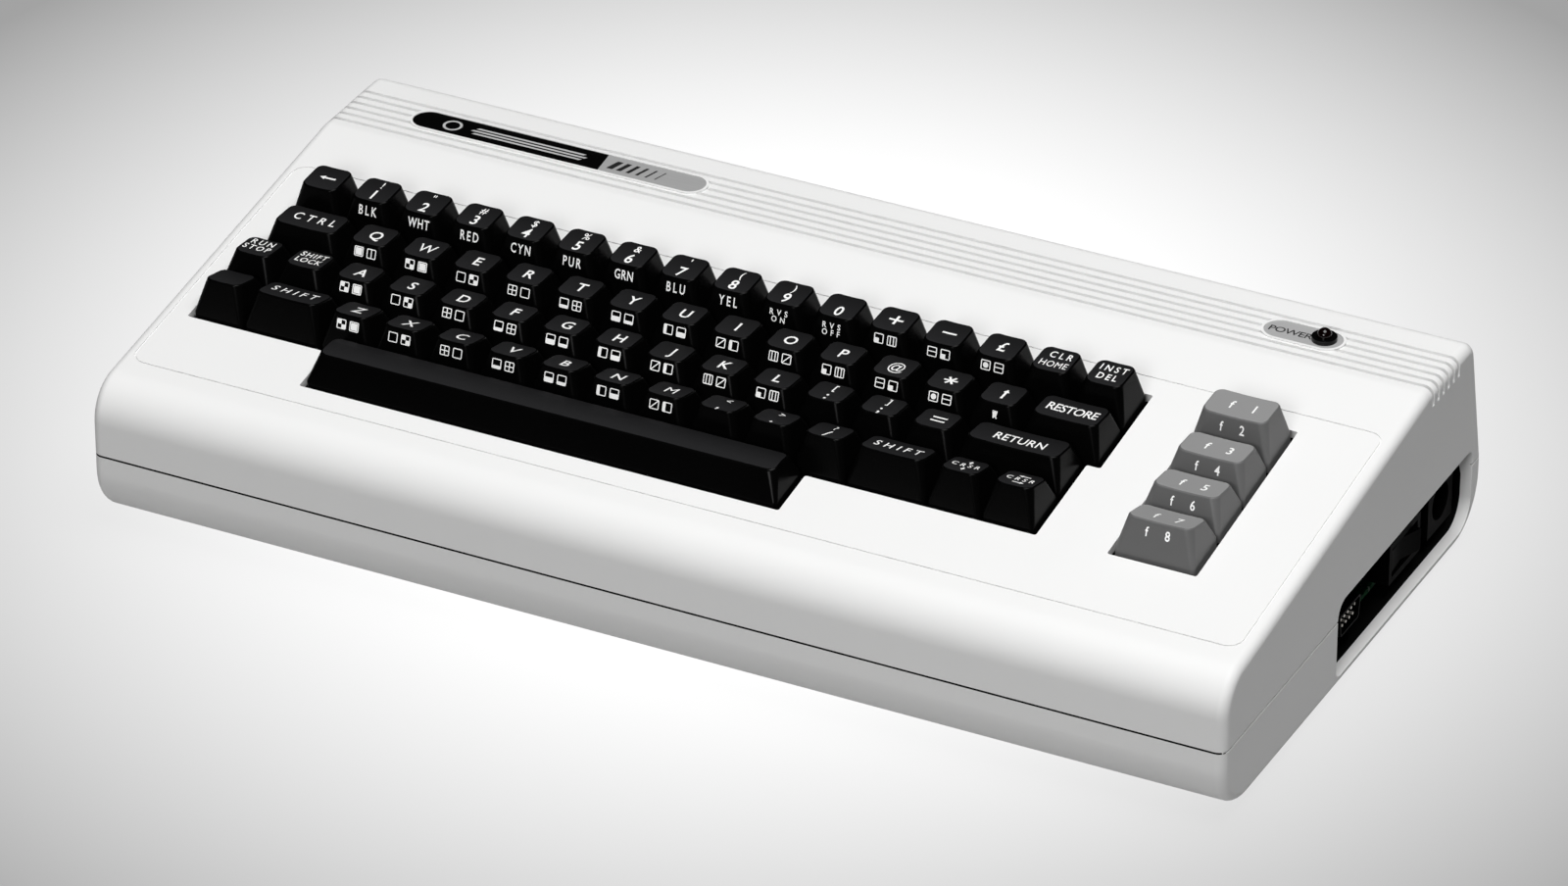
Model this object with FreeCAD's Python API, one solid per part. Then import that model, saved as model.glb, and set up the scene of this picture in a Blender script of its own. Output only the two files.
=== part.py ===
import FreeCAD
import Part
import math
import os

# A home computer whose whole machine sits in one low sloping case under its keyboard.
# Millimetres. X runs to the right, Y to the back and Z up. The origin lies on the
# table, under the middle of the case.

# Case
case_width = 404.0
case_depth = 205.0
case_height = 73.0
foot_proud = 2.5
seam_height = 25.0
wall = 3.0
edge_radius = 3.5
deck_slope_deg = 8.42
shoulder_share = 0.5227
nose_radius = 15.0
shoulder_radius = 12.0
back_lean_deg = 12.0
back_top_radius = 6.0
back_waist_radius = 8.0
front_belly_radius = 19.0
back_belly_radius = 20.0
seam_gap = 0.7
seam_gap_depth = 0.8
lip_thickness = 1.5
lip_rise = 3.0
lip_drop = 4.0
fit_gap = 0.3
overrun = 10.0

# Grooves across the rear of the top, and the fine line round the keyboard
groove_count = 6
groove_pitch = 4.15
groove_width = 1.5
groove_depth = 1.1
groove_side_drop = 6.6
groove_runout = 1.4
groove_first_from_shoulder = 4.2
outline_side_margin = 4.2
outline_front_margin = 17.4
outline_back_margin = 10.0
outline_radius = 5.5
outline_width = 0.5
outline_depth = 0.4

# Badges, each a flat pill in a raised rim
badge_height = 11.0
badge_thickness = 0.7
badge_recess = 0.4
badge_rim = 1.0
badge_rim_rise = 0.5
badge_gap = 0.1
badge_centre_from_groove = 12.2
name_badge_length = 109.5
name_badge_margin = 26.45
power_badge_length = 27.0
power_badge_margin = 37.4

# Lamp beside the power badge's word
lamp_from_badge_end = 6.2
lamp_diameter = 5.0
lamp_flange_diameter = 6.0
lamp_flange_thickness = 1.0
lamp_top_rise = 4.6
lamp_collar_diameter = 8.4
lamp_collar_rise = 1.5
lamp_collar_neck_diameter = 7.0
lamp_collar_drop = 4.0
lamp_gap = 0.05

# Keys. Heights are above the deck, insets are from the edge of the key's own cell.
# The margins leave the keys a pitch of 19.05 both ways
keyboard_left_margin = 11.798
function_right_margin = 32.02
keyboard_back_margin = 33.78
keyboard_front_margin = 27.05
function_gap_units = 1.157
function_width_units = 1.5
key_gap = 0.8
key_skirt_drop = 3.0
key_shoulder_rise = 1.0
key_wall = 1.4
key_top_thickness = 2.2
key_side_inset = 3.1
key_corner_radius = 1.6
key_top_corner_radius = 2.8
key_dish_depth = 0.35
key_dish_margin = 0.75
key_travel = 4.0
row_back_heights = [11.9, 8.8, 7.8, 7.8, 7.6]
row_front_heights = [13.0, 11.0, 10.7, 12.5, 9.4]
row_back_insets = [0.6, 1.05, 1.2, 1.4, 1.4]
row_front_insets = [4.95, 5.1, 5.6, 5.5, 5.6]
space_crown_rise = 0.7
opening_gap = 1.1
opening_corner = 0.8

# Rows from the back; the fifth height and inset are the space bar's. Rows as (name of the piece, width of
# each of its keys in units). A name with two or more widths is a run of neighbouring keys that share one
# piece and one slide.
lower_row_shift_units = -0.25
row_1 = [("keys_arrow_to_2", [1, 1, 1]), ("keys_3_to_5", [1, 1, 1]), ("keys_6_to_8", [1, 1, 1]),
         ("keys_9_to_plus", [1, 1, 1]), ("keys_minus_pound", [1, 1]), ("key_home", [1]), ("key_delete", [1])]
row_2 = [("key_control", [1.5]), ("keys_q_to_e", [1, 1, 1]), ("keys_r_to_y", [1, 1, 1]),
         ("keys_u_to_o", [1, 1, 1]), ("keys_p_to_star", [1, 1, 1]), ("key_up_arrow", [1]), ("key_restore", [1.5])]
row_3 = [("key_stop", [1]), ("key_shift_lock", [1]), ("keys_a_to_d", [1, 1, 1]), ("keys_f_to_h", [1, 1, 1]),
         ("keys_j_to_l", [1, 1, 1]), ("keys_colon_to_equals", [1, 1, 1]), ("key_return", [2])]
row_4 = [("key_mark", [1]), ("key_left_shift", [1.5]), ("keys_z_to_c", [1, 1, 1]), ("keys_v_to_n", [1, 1, 1]),
         ("keys_m_comma", [1, 1]), ("keys_period_slash", [1, 1]), ("key_right_shift", [1.5]),
         ("key_cursor_down", [1]), ("key_cursor_right", [1])]
row_start_units = [0, 0, lower_row_shift_units, lower_row_shift_units]
rows = [row_1, row_2, row_3, row_4]
space_start_units = 2.5
space_units = 9
space_post_shares = [-0.42, 0, 0.42]
function_names = ["key_f1", "key_f3", "key_f5", "key_f7"]

# Plungers, springs and the frame that guides them
plunger_side = 5.4
plunger_stem_side = 3.2
plunger_stem_length = 3.5
plunger_slide_gap = 0.35
plunger_floor_gap = 0.4
boss_radius = 4.8
boss_drop = 1.5
spring_wall = 0.6
frame_below_skirt = 0.8
frame_thickness = 2.0
frame_margin = 4.0
frame_ear_margin = 8.0
frame_rim_width = 2.0
frame_rim_drop = 5.5
keyboard_board_thickness = 1.6
frame_boss_radius = 3.2
frame_boss_along_shares = [0.04, 0.36, 0.66, 0.93]

# Screws
screw_radius = 1.4
screw_head_radius = 2.8
screw_head_height = 2.0
screw_bite = 5.0
screw_slack = 0.05
screw_hole_slack = 0.3
screw_slot_width = 0.7
screw_slot_depth = 0.8

# Main board and its standoffs. Places on the board are shares of its width and of its
# depth, from its front left corner
board_rise = 7.0
board_thickness = 1.6
board_left_margin = 44.0
board_right_margin = 10.0
board_front_share = 0.605
board_back_margin = 10.5
standoff_shares = [(0.0171, 0.039), (0.5, 0.039), (0.983, 0.039), (0.0171, 0.5), (0.0171, 0.961), (0.52, 0.961)]
standoff_radius = 3.5

# Openings in the right wall and in the rear. Places along them are shares of half
# the case's depth and of half its width
side_opening_front_share = -0.1463
side_opening_back_margin = 8.5
side_opening_bottom = 3.8
side_opening_top = 31.6
side_opening_front_top_radius = 6.0
side_opening_back_top_radius = 4.0
side_opening_back_bottom_radius = 10.0
side_opening_front_bottom_radius = 3.0
side_rim_depth = 3.9
side_rim_width = 1.6
port_face_inset = 4.6
rear_face_inset = 3.0

game_port_share = 0.0585
game_port_flange_length = 30.8
game_port_flange_height = 12.4
game_port_flange_thickness = 1.2
game_port_shell_length = 16.9
game_port_shell_height = 8.4
game_port_shell_wall = 0.6
game_port_shell_depth = 5.8
game_port_slant = 1.2
game_port_body_depth = 10.0
game_port_pin_pitch = 2.77
game_port_pin_radius = 0.5
game_port_row_pitch = 2.84
game_port_pin_length = 5.0
game_port_long_row = 5

switch_share = 0.4878
switch_length = 25.0
switch_height = 15.0
switch_depth = 15.0
switch_wall = 1.6
rocker_length = 18.0
rocker_height = 8.0
rocker_valley = 5.0
rocker_peak = 7.0
rocker_flank = 3.0
rocker_root = 3.0
rocker_root_length = 10.0
rocker_throw_deg = 8.0
rocker_gap = 1.3
rocker_pivot_depth = 6.0
rocker_pin_radius = 1.2
rocker_pin_gap = 0.05
rocker_pin_bite = 1.2

socket_side = 20.0
socket_depth = 14.0
socket_bore_radius = 6.7
socket_bore_depth = 8.0
socket_pin_radius = 0.8
socket_pin_circle = 4.8
socket_pin_depth = 3.0
power_socket_share = 0.7707
power_socket_pins = 7
video_socket_share = 0.0396
video_socket_pins = 5
serial_socket_share = -0.099
serial_socket_pins = 6
socket_window_gap = 1.5

cartridge_share = 0.5
cartridge_window_width = 142.0
cartridge_window_bottom = 5.0
cartridge_window_top = 29.0
cartridge_connector_length = 97.0
cartridge_connector_height = 15.0
cartridge_connector_depth = 12.0
cartridge_connector_setback = 18.0
cartridge_slot_length = 88.0
cartridge_slot_height = 2.0
cartridge_slot_depth = 8.0
cartridge_slot_rise = 8.0

edge_tab_reach = 4.0
edge_window_bottom = 3.8
edge_window_top = 20.0
edge_window_side_gap = 5.0
cassette_tab_share = -0.2574
cassette_tab_width = 24.0
user_tab_share = -0.5347
user_tab_width = 50.0

# Feet, case screws and floor vents
foot_radius = 6.5
foot_recess = 0.5
foot_side_margin = 37.0
foot_end_margin = 30.5
case_screw_margin = 11.5
case_screw_shares = [-0.7426, 0, 0.7426]
case_boss_radius = 4.0
case_screw_head_rise = 9.0
case_screw_length = 26.0
vent_count = 10
vent_width = 3.0
vent_length = 40.0
vent_pitch = 7.0
vent_centre_shares = [-0.52, 0.47]
vent_front_share = 0.2732

# Parts on the main board
chip_body_height = 3.6
chip_stand = 0.8
chip_leg_thickness = 0.5
chip_leg_pitch = 2.54
chip_leg_width_share = 0.45
big_chip_size = (52.0, 13.6)
big_chip_shares = [0.1086, 0.2943, 0.48, 0.6657]
big_chip_y_share = 0.5325
rom_chip_size = (31.0, 13.6)
rom_chip_shares = [0.0857, 0.2, 0.3143]
rom_chip_y_share = 0.3506
ram_chip_size = (7.0, 22.0)
ram_chip_count = 10
ram_chip_first_share = 0.0371
ram_chip_pitch_share = 0.0371
ram_chip_y_share = 0.1558
logic_chip_size = (20.0, 6.6)
logic_chip_shares = [0.1086, 0.1943, 0.28, 0.3657, 0.4514, 0.5371]
logic_chip_y_share = 0.7143
header_size = (54.0, 6.0)
header_height = 8.0
header_shares = (0.6229, 0.1169)
lamp_header_size = (8.0, 5.0)
lamp_header_offset = (-8.4, -14.0)
big_can_radius = 8.5
big_can_height = 26.0
big_can_shares = [(0.7943, 0.1104), (0.8571, 0.1104)]
small_can_radius = 3.2
small_can_height = 11.0
small_can_shares = [0.0229, 0.4086, 0.58, 0.7657]
small_can_y_share = 0.8247
crystal_size = (11.0, 4.6)
crystal_height = 9.0
crystal_shares = (0.6057, 0.7143)
heat_sink_length = 44.0
heat_sink_height = 24.0
heat_sink_base = 14.0
heat_sink_sheet = 2.0
heat_sink_fin_count = 4
heat_sink_shares = (0.8229, 0.3117)

# Ribbon from the keyboard to the main board, and the lamp's pair of wires
ribbon_width = 50.0
ribbon_thickness = 1.0
ribbon_forward_share = 0.4
ribbon_lead = 9.0
ribbon_bend_radius = 6.0
lamp_lead_radius = 0.8
lamp_lead_bend_radius = 8.0
lamp_lead_drop = 26.0

# Values that follow from those above
half_width = case_width / 2
half_depth = case_depth / 2
bottom = foot_proud
seam_z = bottom + seam_height
top_z = bottom + case_height
deck_slope = math.radians(deck_slope_deg)
shoulder_y = shoulder_share * half_depth
deck_z = top_z - shoulder_y * math.tan(deck_slope)
back_lean = math.radians(back_lean_deg)
floor_z = bottom + wall
board_z = bottom + board_rise
board_top = board_z + board_thickness
badge_centre_y = shoulder_y + groove_first_from_shoulder + badge_centre_from_groove
name_badge_centre_x = name_badge_length / 2 + name_badge_margin - half_width
power_badge_centre_x = half_width - power_badge_margin - power_badge_length / 2
lamp_x = half_width - power_badge_margin - lamp_from_badge_end
board_left = board_left_margin - half_width
board_right = half_width - board_right_margin
board_front = -board_front_share * half_depth
board_back = half_depth - board_back_margin
side_opening_front = side_opening_front_share * half_depth
side_opening_back = half_depth - side_opening_back_margin
game_port_y = game_port_share * half_depth
switch_y = switch_share * half_depth
power_socket_y = power_socket_share * half_depth
video_socket_x = video_socket_share * half_width
serial_socket_x = serial_socket_share * half_width
cartridge_centre_x = cartridge_share * half_width
cassette_tab_x = cassette_tab_share * half_width
user_tab_x = user_tab_share * half_width
case_screw_y = case_screw_margin - half_depth
case_screw_xs = [share * half_width for share in case_screw_shares]
row_units = sum(sum(widths) for name, widths in row_1)
keyboard_units = row_units - lower_row_shift_units + function_gap_units + function_width_units
key_pitch = (case_width - keyboard_left_margin - function_right_margin) / keyboard_units
keys_left = keyboard_left_margin - half_width - lower_row_shift_units * key_pitch
function_left = keys_left + (row_units + function_gap_units) * key_pitch
keys_back = shoulder_y - keyboard_back_margin
row_pitch = (keys_back + half_depth - keyboard_front_margin) / (len(rows) + 1)
key_rest_floor = -key_skirt_drop
frame_top_n = -key_skirt_drop - key_travel - frame_below_skirt
frame_bottom_n = frame_top_n - frame_thickness
keyboard_board_n = frame_bottom_n - frame_rim_drop
plunger_foot_n = keyboard_board_n + key_travel + plunger_floor_gap
boss_n = -boss_drop
port_face_x = half_width - port_face_inset
rear_face_y = half_depth - rear_face_inset


def vec(x, y, z):
    return FreeCAD.Vector(x, y, z)


def box(x0, x1, y0, y1, z0, z1):
    return Part.makeBox(x1 - x0, y1 - y0, z1 - z0, vec(x0, y0, z0))


def upright(x, y, z0, z1, radius):
    return Part.makeCylinder(radius, z1 - z0, vec(x, y, z0), vec(0, 0, 1))


def fuse_all(shapes):
    result = shapes[0]
    if len(shapes) > 1:
        result = shapes[0].multiFuse(shapes[1:])
    return result.removeSplitter()


def inset_polygon(points, inset):
    # Each side of a polygon that runs anticlockwise moves inwards, and the sides meet again
    lines = []
    for index, start in enumerate(points):
        end = points[(index + 1) % len(points)]
        length = math.hypot(end[0] - start[0], end[1] - start[1])
        along = ((end[0] - start[0]) / length, (end[1] - start[1]) / length)
        lines.append(((start[0] - along[1] * inset, start[1] + along[0] * inset), along))
    corners = []
    for index, (place, along) in enumerate(lines):
        before, back = lines[index - 1]
        cross = back[0] * along[1] - back[1] * along[0]
        gap = (place[0] - before[0], place[1] - before[1])
        reach = (gap[0] * along[1] - gap[1] * along[0]) / cross
        corners.append((before[0] + back[0] * reach, before[1] + back[1] * reach))
    return corners


def rounded_wire(points, radii, place):
    # A closed outline whose corners are tangent arcs; place turns (a, b) into a point in space
    starts = []
    ends = []
    middles = []
    for index, corner in enumerate(points):
        before = points[index - 1]
        after = points[(index + 1) % len(points)]
        to_before = math.atan2(before[1] - corner[1], before[0] - corner[0])
        to_after = math.atan2(after[1] - corner[1], after[0] - corner[0])
        half_angle = abs(math.remainder(to_after - to_before, math.tau)) / 2
        reach = radii[index] / math.tan(half_angle)
        starts.append((corner[0] + reach * math.cos(to_before), corner[1] + reach * math.sin(to_before)))
        ends.append((corner[0] + reach * math.cos(to_after), corner[1] + reach * math.sin(to_after)))
        middle_way = math.atan2(math.sin(to_before) + math.sin(to_after), math.cos(to_before) + math.cos(to_after))
        inside = radii[index] / math.sin(half_angle) - radii[index]
        middles.append((corner[0] + inside * math.cos(middle_way), corner[1] + inside * math.sin(middle_way)))
    edges = []
    for index in range(len(points)):
        following = (index + 1) % len(points)
        if radii[index] > 0:
            edges.append(Part.Arc(place(starts[index]), place(middles[index]), place(ends[index])).toShape())
        edges.append(Part.LineSegment(place(ends[index]), place(starts[following])).toShape())
    return Part.Wire(edges)


def flat_prism(points, radii, z0, z1):
    # An outline in X and Y, raised from z0 to z1
    wire = rounded_wire(points, radii, lambda p: vec(p[0], p[1], z0))
    return Part.Face(wire).extrude(vec(0, 0, z1 - z0))


def rectangle(a0, a1, b0, b1):
    return [(a0, b0), (a1, b0), (a1, b1), (a0, b1)]


def pill(centre_x, centre_y, length, height, z0, z1):
    radius = height / 2
    straight = length / 2 - radius
    middle = box(centre_x - straight, centre_x + straight, centre_y - radius, centre_y + radius, z0, z1)
    left = upright(centre_x - straight, centre_y, z0, z1, radius)
    right = upright(centre_x + straight, centre_y, z0, z1, radius)
    return fuse_all([middle, left, right])


def on_deck(shape):
    # Moves a shape made in deck coordinates, with its zero on the deck above the origin
    turned = shape.copy()
    turned.rotate(vec(0, 0, 0), vec(1, 0, 0), deck_slope_deg)
    turned.translate(vec(0, 0, deck_z))
    return turned


def on_board(shares):
    return (board_left + shares[0] * (board_right - board_left),
            board_front + shares[1] * (board_back - board_front))


def deck_point(u, v, n):
    return vec(u, v * math.cos(deck_slope) - n * math.sin(deck_slope),
               deck_z + v * math.sin(deck_slope) + n * math.cos(deck_slope))


# Case


def side_outline():
    # The case seen from its right end, front on the left, running anticlockwise
    rise = math.tan(deck_slope)
    lean = math.tan(back_lean)
    back_top_y = half_depth - (top_z - seam_z) * lean
    return [(-half_depth, bottom), (half_depth, bottom), (half_depth, seam_z), (back_top_y, top_z),
            ((top_z - deck_z) / rise, top_z), (-half_depth, deck_z - half_depth * rise)]


def case_block(inset):
    radii = [front_belly_radius, back_belly_radius, back_waist_radius, back_top_radius, shoulder_radius, nose_radius]
    points = inset_polygon(side_outline(), inset)
    start = half_width - inset
    wire = rounded_wire(points, [radius - inset for radius in radii], lambda p: vec(-start, p[0], p[1]))
    return Part.Face(wire).extrude(vec(2 * start, 0, 0))


def outer_block():
    block = case_block(0)
    ends = [edge for edge in block.Edges
            if all(abs(abs(vertex.X) - half_width) < fit_gap for vertex in edge.Vertexes)]
    return block.makeFillet(edge_radius, ends)


def slab(z0, z1):
    return box(-half_width - overrun, half_width + overrun, -half_depth - overrun, half_depth + overrun, z0, z1)


def groove_tool():
    low = top_z - groove_side_drop
    cuts = []
    for index in range(groove_count):
        y = shoulder_y + groove_first_from_shoulder + index * groove_pitch
        cuts.append(box(-half_width - overrun, half_width + overrun, y - groove_width / 2, y + groove_width / 2,
                        low, top_z + overrun))
    inner = half_width - groove_depth
    core_top = top_z - groove_depth
    points = [(-half_width - overrun, low - overrun), (half_width + overrun, low - overrun),
              (half_width + overrun, low), (half_width, low), (inner, low + groove_runout), (inner, core_top),
              (-inner, core_top), (-inner, low + groove_runout), (-half_width, low), (-half_width - overrun, low)]
    radii = [0, 0, 0, 0, 0, edge_radius, edge_radius, 0, 0, 0]
    wire = rounded_wire(points, radii, lambda p: vec(p[0], half_depth + overrun, p[1]))
    core = Part.Face(wire).extrude(vec(0, -case_depth - 2 * overrun, 0))
    tool = Part.makeCompound(cuts).cut(core)
    for centre_x, length in [(name_badge_centre_x, name_badge_length), (power_badge_centre_x, power_badge_length)]:
        pad = pill(centre_x, badge_centre_y, length + 2 * badge_rim, badge_height + 2 * badge_rim,
                   low - overrun, top_z + 2 * overrun)
        tool = tool.cut(pad)
    return tool


def outline_tool():
    # The fine line round the keyboard, a shallow ring cut square to the deck
    side = half_width - outline_side_margin
    outer = rectangle(-side, side, outline_front_margin - half_depth, keys_back + outline_back_margin)
    inner = inset_polygon(outer, outline_width)
    ring = flat_prism(outer, [outline_radius] * 4, -outline_depth, overrun)
    ring = ring.cut(flat_prism(inner, [outline_radius - outline_width] * 4, -outline_depth - overrun, 2 * overrun))
    return on_deck(ring)


def row_left(index):
    return keys_left + row_start_units[index] * key_pitch


def row_right(index):
    return row_left(index) + sum(sum(widths) for name, widths in rows[index]) * key_pitch


def keyboard_opening_points(gap):
    # Anticlockwise from the front left corner of the space bar's recess
    upper_left = row_left(0) - gap
    upper_right = row_right(0) + gap
    lower_left = row_left(3) - gap
    lower_right = row_right(3) + gap
    space_left = keys_left + space_start_units * key_pitch - gap
    space_right = keys_left + (space_start_units + space_units) * key_pitch + gap
    back = keys_back + gap
    left_step = keys_back - 2 * row_pitch + gap
    right_step = keys_back - 2 * row_pitch - gap
    front = keys_back - 4 * row_pitch - gap
    space_front = keys_back - 5 * row_pitch - gap
    return [(space_left, space_front), (space_right, space_front), (space_right, front), (lower_right, front),
            (lower_right, right_step), (upper_right, right_step), (upper_right, back), (upper_left, back),
            (upper_left, left_step), (lower_left, left_step), (lower_left, front), (space_left, front)]


def function_opening_points(gap):
    right = function_left + function_width_units * key_pitch
    return rectangle(function_left - gap, right + gap, keys_back - 4 * row_pitch - gap, keys_back + gap)


def key_openings():
    tools = []
    for points in [keyboard_opening_points(opening_gap), function_opening_points(opening_gap)]:
        tools.append(on_deck(flat_prism(points, [opening_corner] * len(points), -wall - overrun, overrun)))
    return tools


def side_opening(grow, x0, x1):
    # The opening for the ports in the right wall, seen along X
    points = rectangle(side_opening_front - grow, side_opening_back + grow,
                       bottom + side_opening_bottom - grow, bottom + side_opening_top + grow)
    radii = [side_opening_front_bottom_radius + grow, side_opening_back_bottom_radius + grow,
             side_opening_back_top_radius + grow, side_opening_front_top_radius + grow]
    wire = rounded_wire(points, radii, lambda p: vec(x0, p[0], p[1]))
    return Part.Face(wire).extrude(vec(x1 - x0, 0, 0))


def side_rim():
    start = half_width - side_rim_depth
    end = half_width - wall / 2
    ring = side_opening(side_rim_width, start, end).cut(side_opening(0, start - overrun, end + overrun))
    return ring.cut(slab(bottom - overrun, floor_z - fit_gap))


def rear_windows():
    windows = [(cartridge_centre_x, cartridge_window_width, cartridge_window_bottom, cartridge_window_top)]
    socket_half = socket_side / 2 + socket_window_gap
    for x in [video_socket_x, serial_socket_x]:
        windows.append((x, 2 * socket_half, board_rise + board_thickness - socket_window_gap,
                        board_rise + board_thickness + socket_side + socket_window_gap))
    for x, width in [(cassette_tab_x, cassette_tab_width), (user_tab_x, user_tab_width)]:
        windows.append((x, width + 2 * edge_window_side_gap, edge_window_bottom, edge_window_top))
    tools = []
    for x, width, low, high in windows:
        start = board_back - edge_tab_reach
        tools.append(box(x - width / 2, x + width / 2, start, half_depth + overrun, bottom + low, bottom + high))
    return tools


def frame_boss_places():
    # Eight places along the back and the front edge of the keyboard's frame, in deck coordinates
    left, right, front, back = frame_bounds()
    ear = frame_ear_margin / 2
    return [(left + share * (right - left), v) for v in [front - ear, back + ear] for share in frame_boss_along_shares]


def frame_bounds():
    left = row_left(3) - frame_margin
    right = function_left + function_width_units * key_pitch + frame_margin
    front = keys_back - 5 * row_pitch - frame_margin
    back = keys_back + frame_margin
    return left, right, front, back


def upper_case():
    shell = outer_block().cut(case_block(wall)).cut(slab(bottom - overrun, seam_z))
    shell = shell.cut(slab(seam_z - overrun, seam_z + seam_gap).cut(case_block(seam_gap_depth)))
    rims = []
    pockets = []
    for centre_x, length in [(name_badge_centre_x, name_badge_length), (power_badge_centre_x, power_badge_length)]:
        rims.append(pill(centre_x, badge_centre_y, length + 2 * badge_rim, badge_height + 2 * badge_rim,
                         top_z - wall / 2, top_z + badge_rim_rise))
        pockets.append(pill(centre_x, badge_centre_y, length + 2 * badge_gap, badge_height + 2 * badge_gap,
                            top_z - badge_recess, top_z + overrun))
    bosses = []
    for u, v in frame_boss_places():
        bosses.append(on_deck(upright(u, v, frame_top_n, -wall / 2, frame_boss_radius)))
    for x in case_screw_xs:
        bosses.append(upright(x, case_screw_y, seam_z, deck_z, case_boss_radius).common(case_block(wall / 2)))
    shell = fuse_all([shell, side_rim().cut(slab(bottom - overrun, seam_z))] + rims + bosses)
    holes = [upright(lamp_x, badge_centre_y, top_z - wall - overrun, top_z + overrun,
                     lamp_collar_neck_diameter / 2 + lamp_gap)]
    for u, v in frame_boss_places():
        holes.append(on_deck(upright(u, v, frame_top_n - overrun, frame_top_n + screw_bite,
                                     screw_radius + screw_slack)))
    for x in case_screw_xs:
        tip = bottom + case_screw_head_rise + case_screw_length
        holes.append(upright(x, case_screw_y, seam_z - overrun, tip + fit_gap, screw_radius + screw_slack))
    cuts = pockets + holes + [groove_tool(), outline_tool()] + key_openings() + rear_windows()
    cuts.append(side_opening(0, half_width - side_rim_depth - overrun, half_width + overrun))
    return shell.cut(Part.makeCompound(cuts)).removeSplitter()


def lower_case():
    block = outer_block()
    shell = block.cut(case_block(wall)).cut(slab(seam_z, top_z + overrun))
    inner_edge = case_block(wall + lip_thickness + fit_gap)
    low_lip = case_block(wall / 2).cut(inner_edge).common(slab(seam_z - lip_drop, seam_z))
    high_lip = case_block(wall + fit_gap).cut(inner_edge).common(slab(seam_z, seam_z + lip_rise))
    high_lip = high_lip.cut(side_opening(side_rim_width + fit_gap, half_width - side_rim_depth - overrun, half_width))
    posts = []
    holes = []
    for x, y in [on_board(shares) for shares in standoff_shares]:
        posts.append(upright(x, y, bottom + wall / 2, board_z, standoff_radius))
        holes.append(upright(x, y, board_z - screw_bite, board_z + overrun, screw_radius + screw_slack))
    for x in case_screw_xs:
        post = upright(x, case_screw_y, bottom, seam_z, case_boss_radius).common(case_block(wall / 2))
        posts.append(post)
        holes.append(upright(x, case_screw_y, bottom - overrun, seam_z + overrun, screw_radius + screw_hole_slack))
        holes.append(upright(x, case_screw_y, bottom - overrun, bottom + case_screw_head_rise,
                             screw_head_radius + screw_hole_slack))
    for x, y in foot_places():
        holes.append(upright(x, y, bottom - overrun, bottom + foot_recess, foot_radius))
    vent_front = vent_front_share * half_depth
    for share in vent_centre_shares:
        for index in range(vent_count):
            start = share * half_width + (index - (vent_count - 1) / 2) * vent_pitch - vent_width / 2
            slot = rectangle(start, start + vent_width, vent_front, vent_front + vent_length)
            end_radius = vent_width / 2 - screw_slack
            holes.append(flat_prism(slot, [end_radius] * 4, bottom - overrun, floor_z + overrun))
    rim = side_rim().cut(slab(seam_z, top_z + overrun))
    shell = fuse_all([shell, low_lip, high_lip, rim] + posts)
    clear = case_boss_radius + fit_gap
    for x in case_screw_xs:
        holes.append(upright(x, case_screw_y, seam_z, seam_z + overrun, clear))
    holes.append(side_opening(0, half_width - side_rim_depth - overrun, half_width + overrun))
    return shell.cut(Part.makeCompound(holes + rear_windows())).removeSplitter()


def foot_places():
    side = half_width - foot_side_margin
    end = half_depth - foot_end_margin
    return [(x, y) for x in [-side, side] for y in [-end, end]]


def rubber_feet():
    return [upright(x, y, 0, bottom + foot_recess, foot_radius - screw_slack) for x, y in foot_places()]


# Badges and the lamp


def badge(centre_x, length, hole):
    plate = pill(centre_x, badge_centre_y, length, badge_height, top_z - badge_recess,
                 top_z - badge_recess + badge_thickness)
    if hole:
        plate = plate.cut(upright(lamp_x, badge_centre_y, bottom, top_z + overrun,
                                  lamp_collar_neck_diameter / 2 + lamp_gap))
    return [plate]


def lamp_collar():
    seat = top_z - badge_recess + badge_thickness
    ring = upright(lamp_x, badge_centre_y, seat, seat + lamp_collar_rise, lamp_collar_diameter / 2)
    neck = upright(lamp_x, badge_centre_y, seat - lamp_collar_drop, seat, lamp_collar_neck_diameter / 2)
    bore = upright(lamp_x, badge_centre_y, seat - overrun, seat + overrun, lamp_diameter / 2 + lamp_gap)
    return [fuse_all([ring, neck]).cut(bore)]


def power_lamp():
    seat = top_z - badge_recess + badge_thickness - lamp_collar_drop
    crown = top_z + lamp_top_rise
    radius = lamp_diameter / 2
    stem = upright(lamp_x, badge_centre_y, seat, crown - radius, radius)
    dome = Part.makeSphere(radius, vec(lamp_x, badge_centre_y, crown - radius))
    flange = upright(lamp_x, badge_centre_y, seat - lamp_flange_thickness, seat, lamp_flange_diameter / 2)
    return [fuse_all([stem, dome, flange])]


# Keys


def cell_section(back_half, front_half, back_v, front_v, radius, n):
    wire_points = [(-front_half, front_v), (front_half, front_v), (back_half, back_v), (-back_half, back_v)]
    return rounded_wire(wire_points, [radius] * 4, lambda p: vec(p[0], p[1], n))


def inset_at(n, inset, height):
    # A cap's side leans in steadily from its shoulder to its top
    start = key_gap / 2
    return start + (inset - start) * (n - key_shoulder_rise) / (height - key_shoulder_rise)


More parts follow.
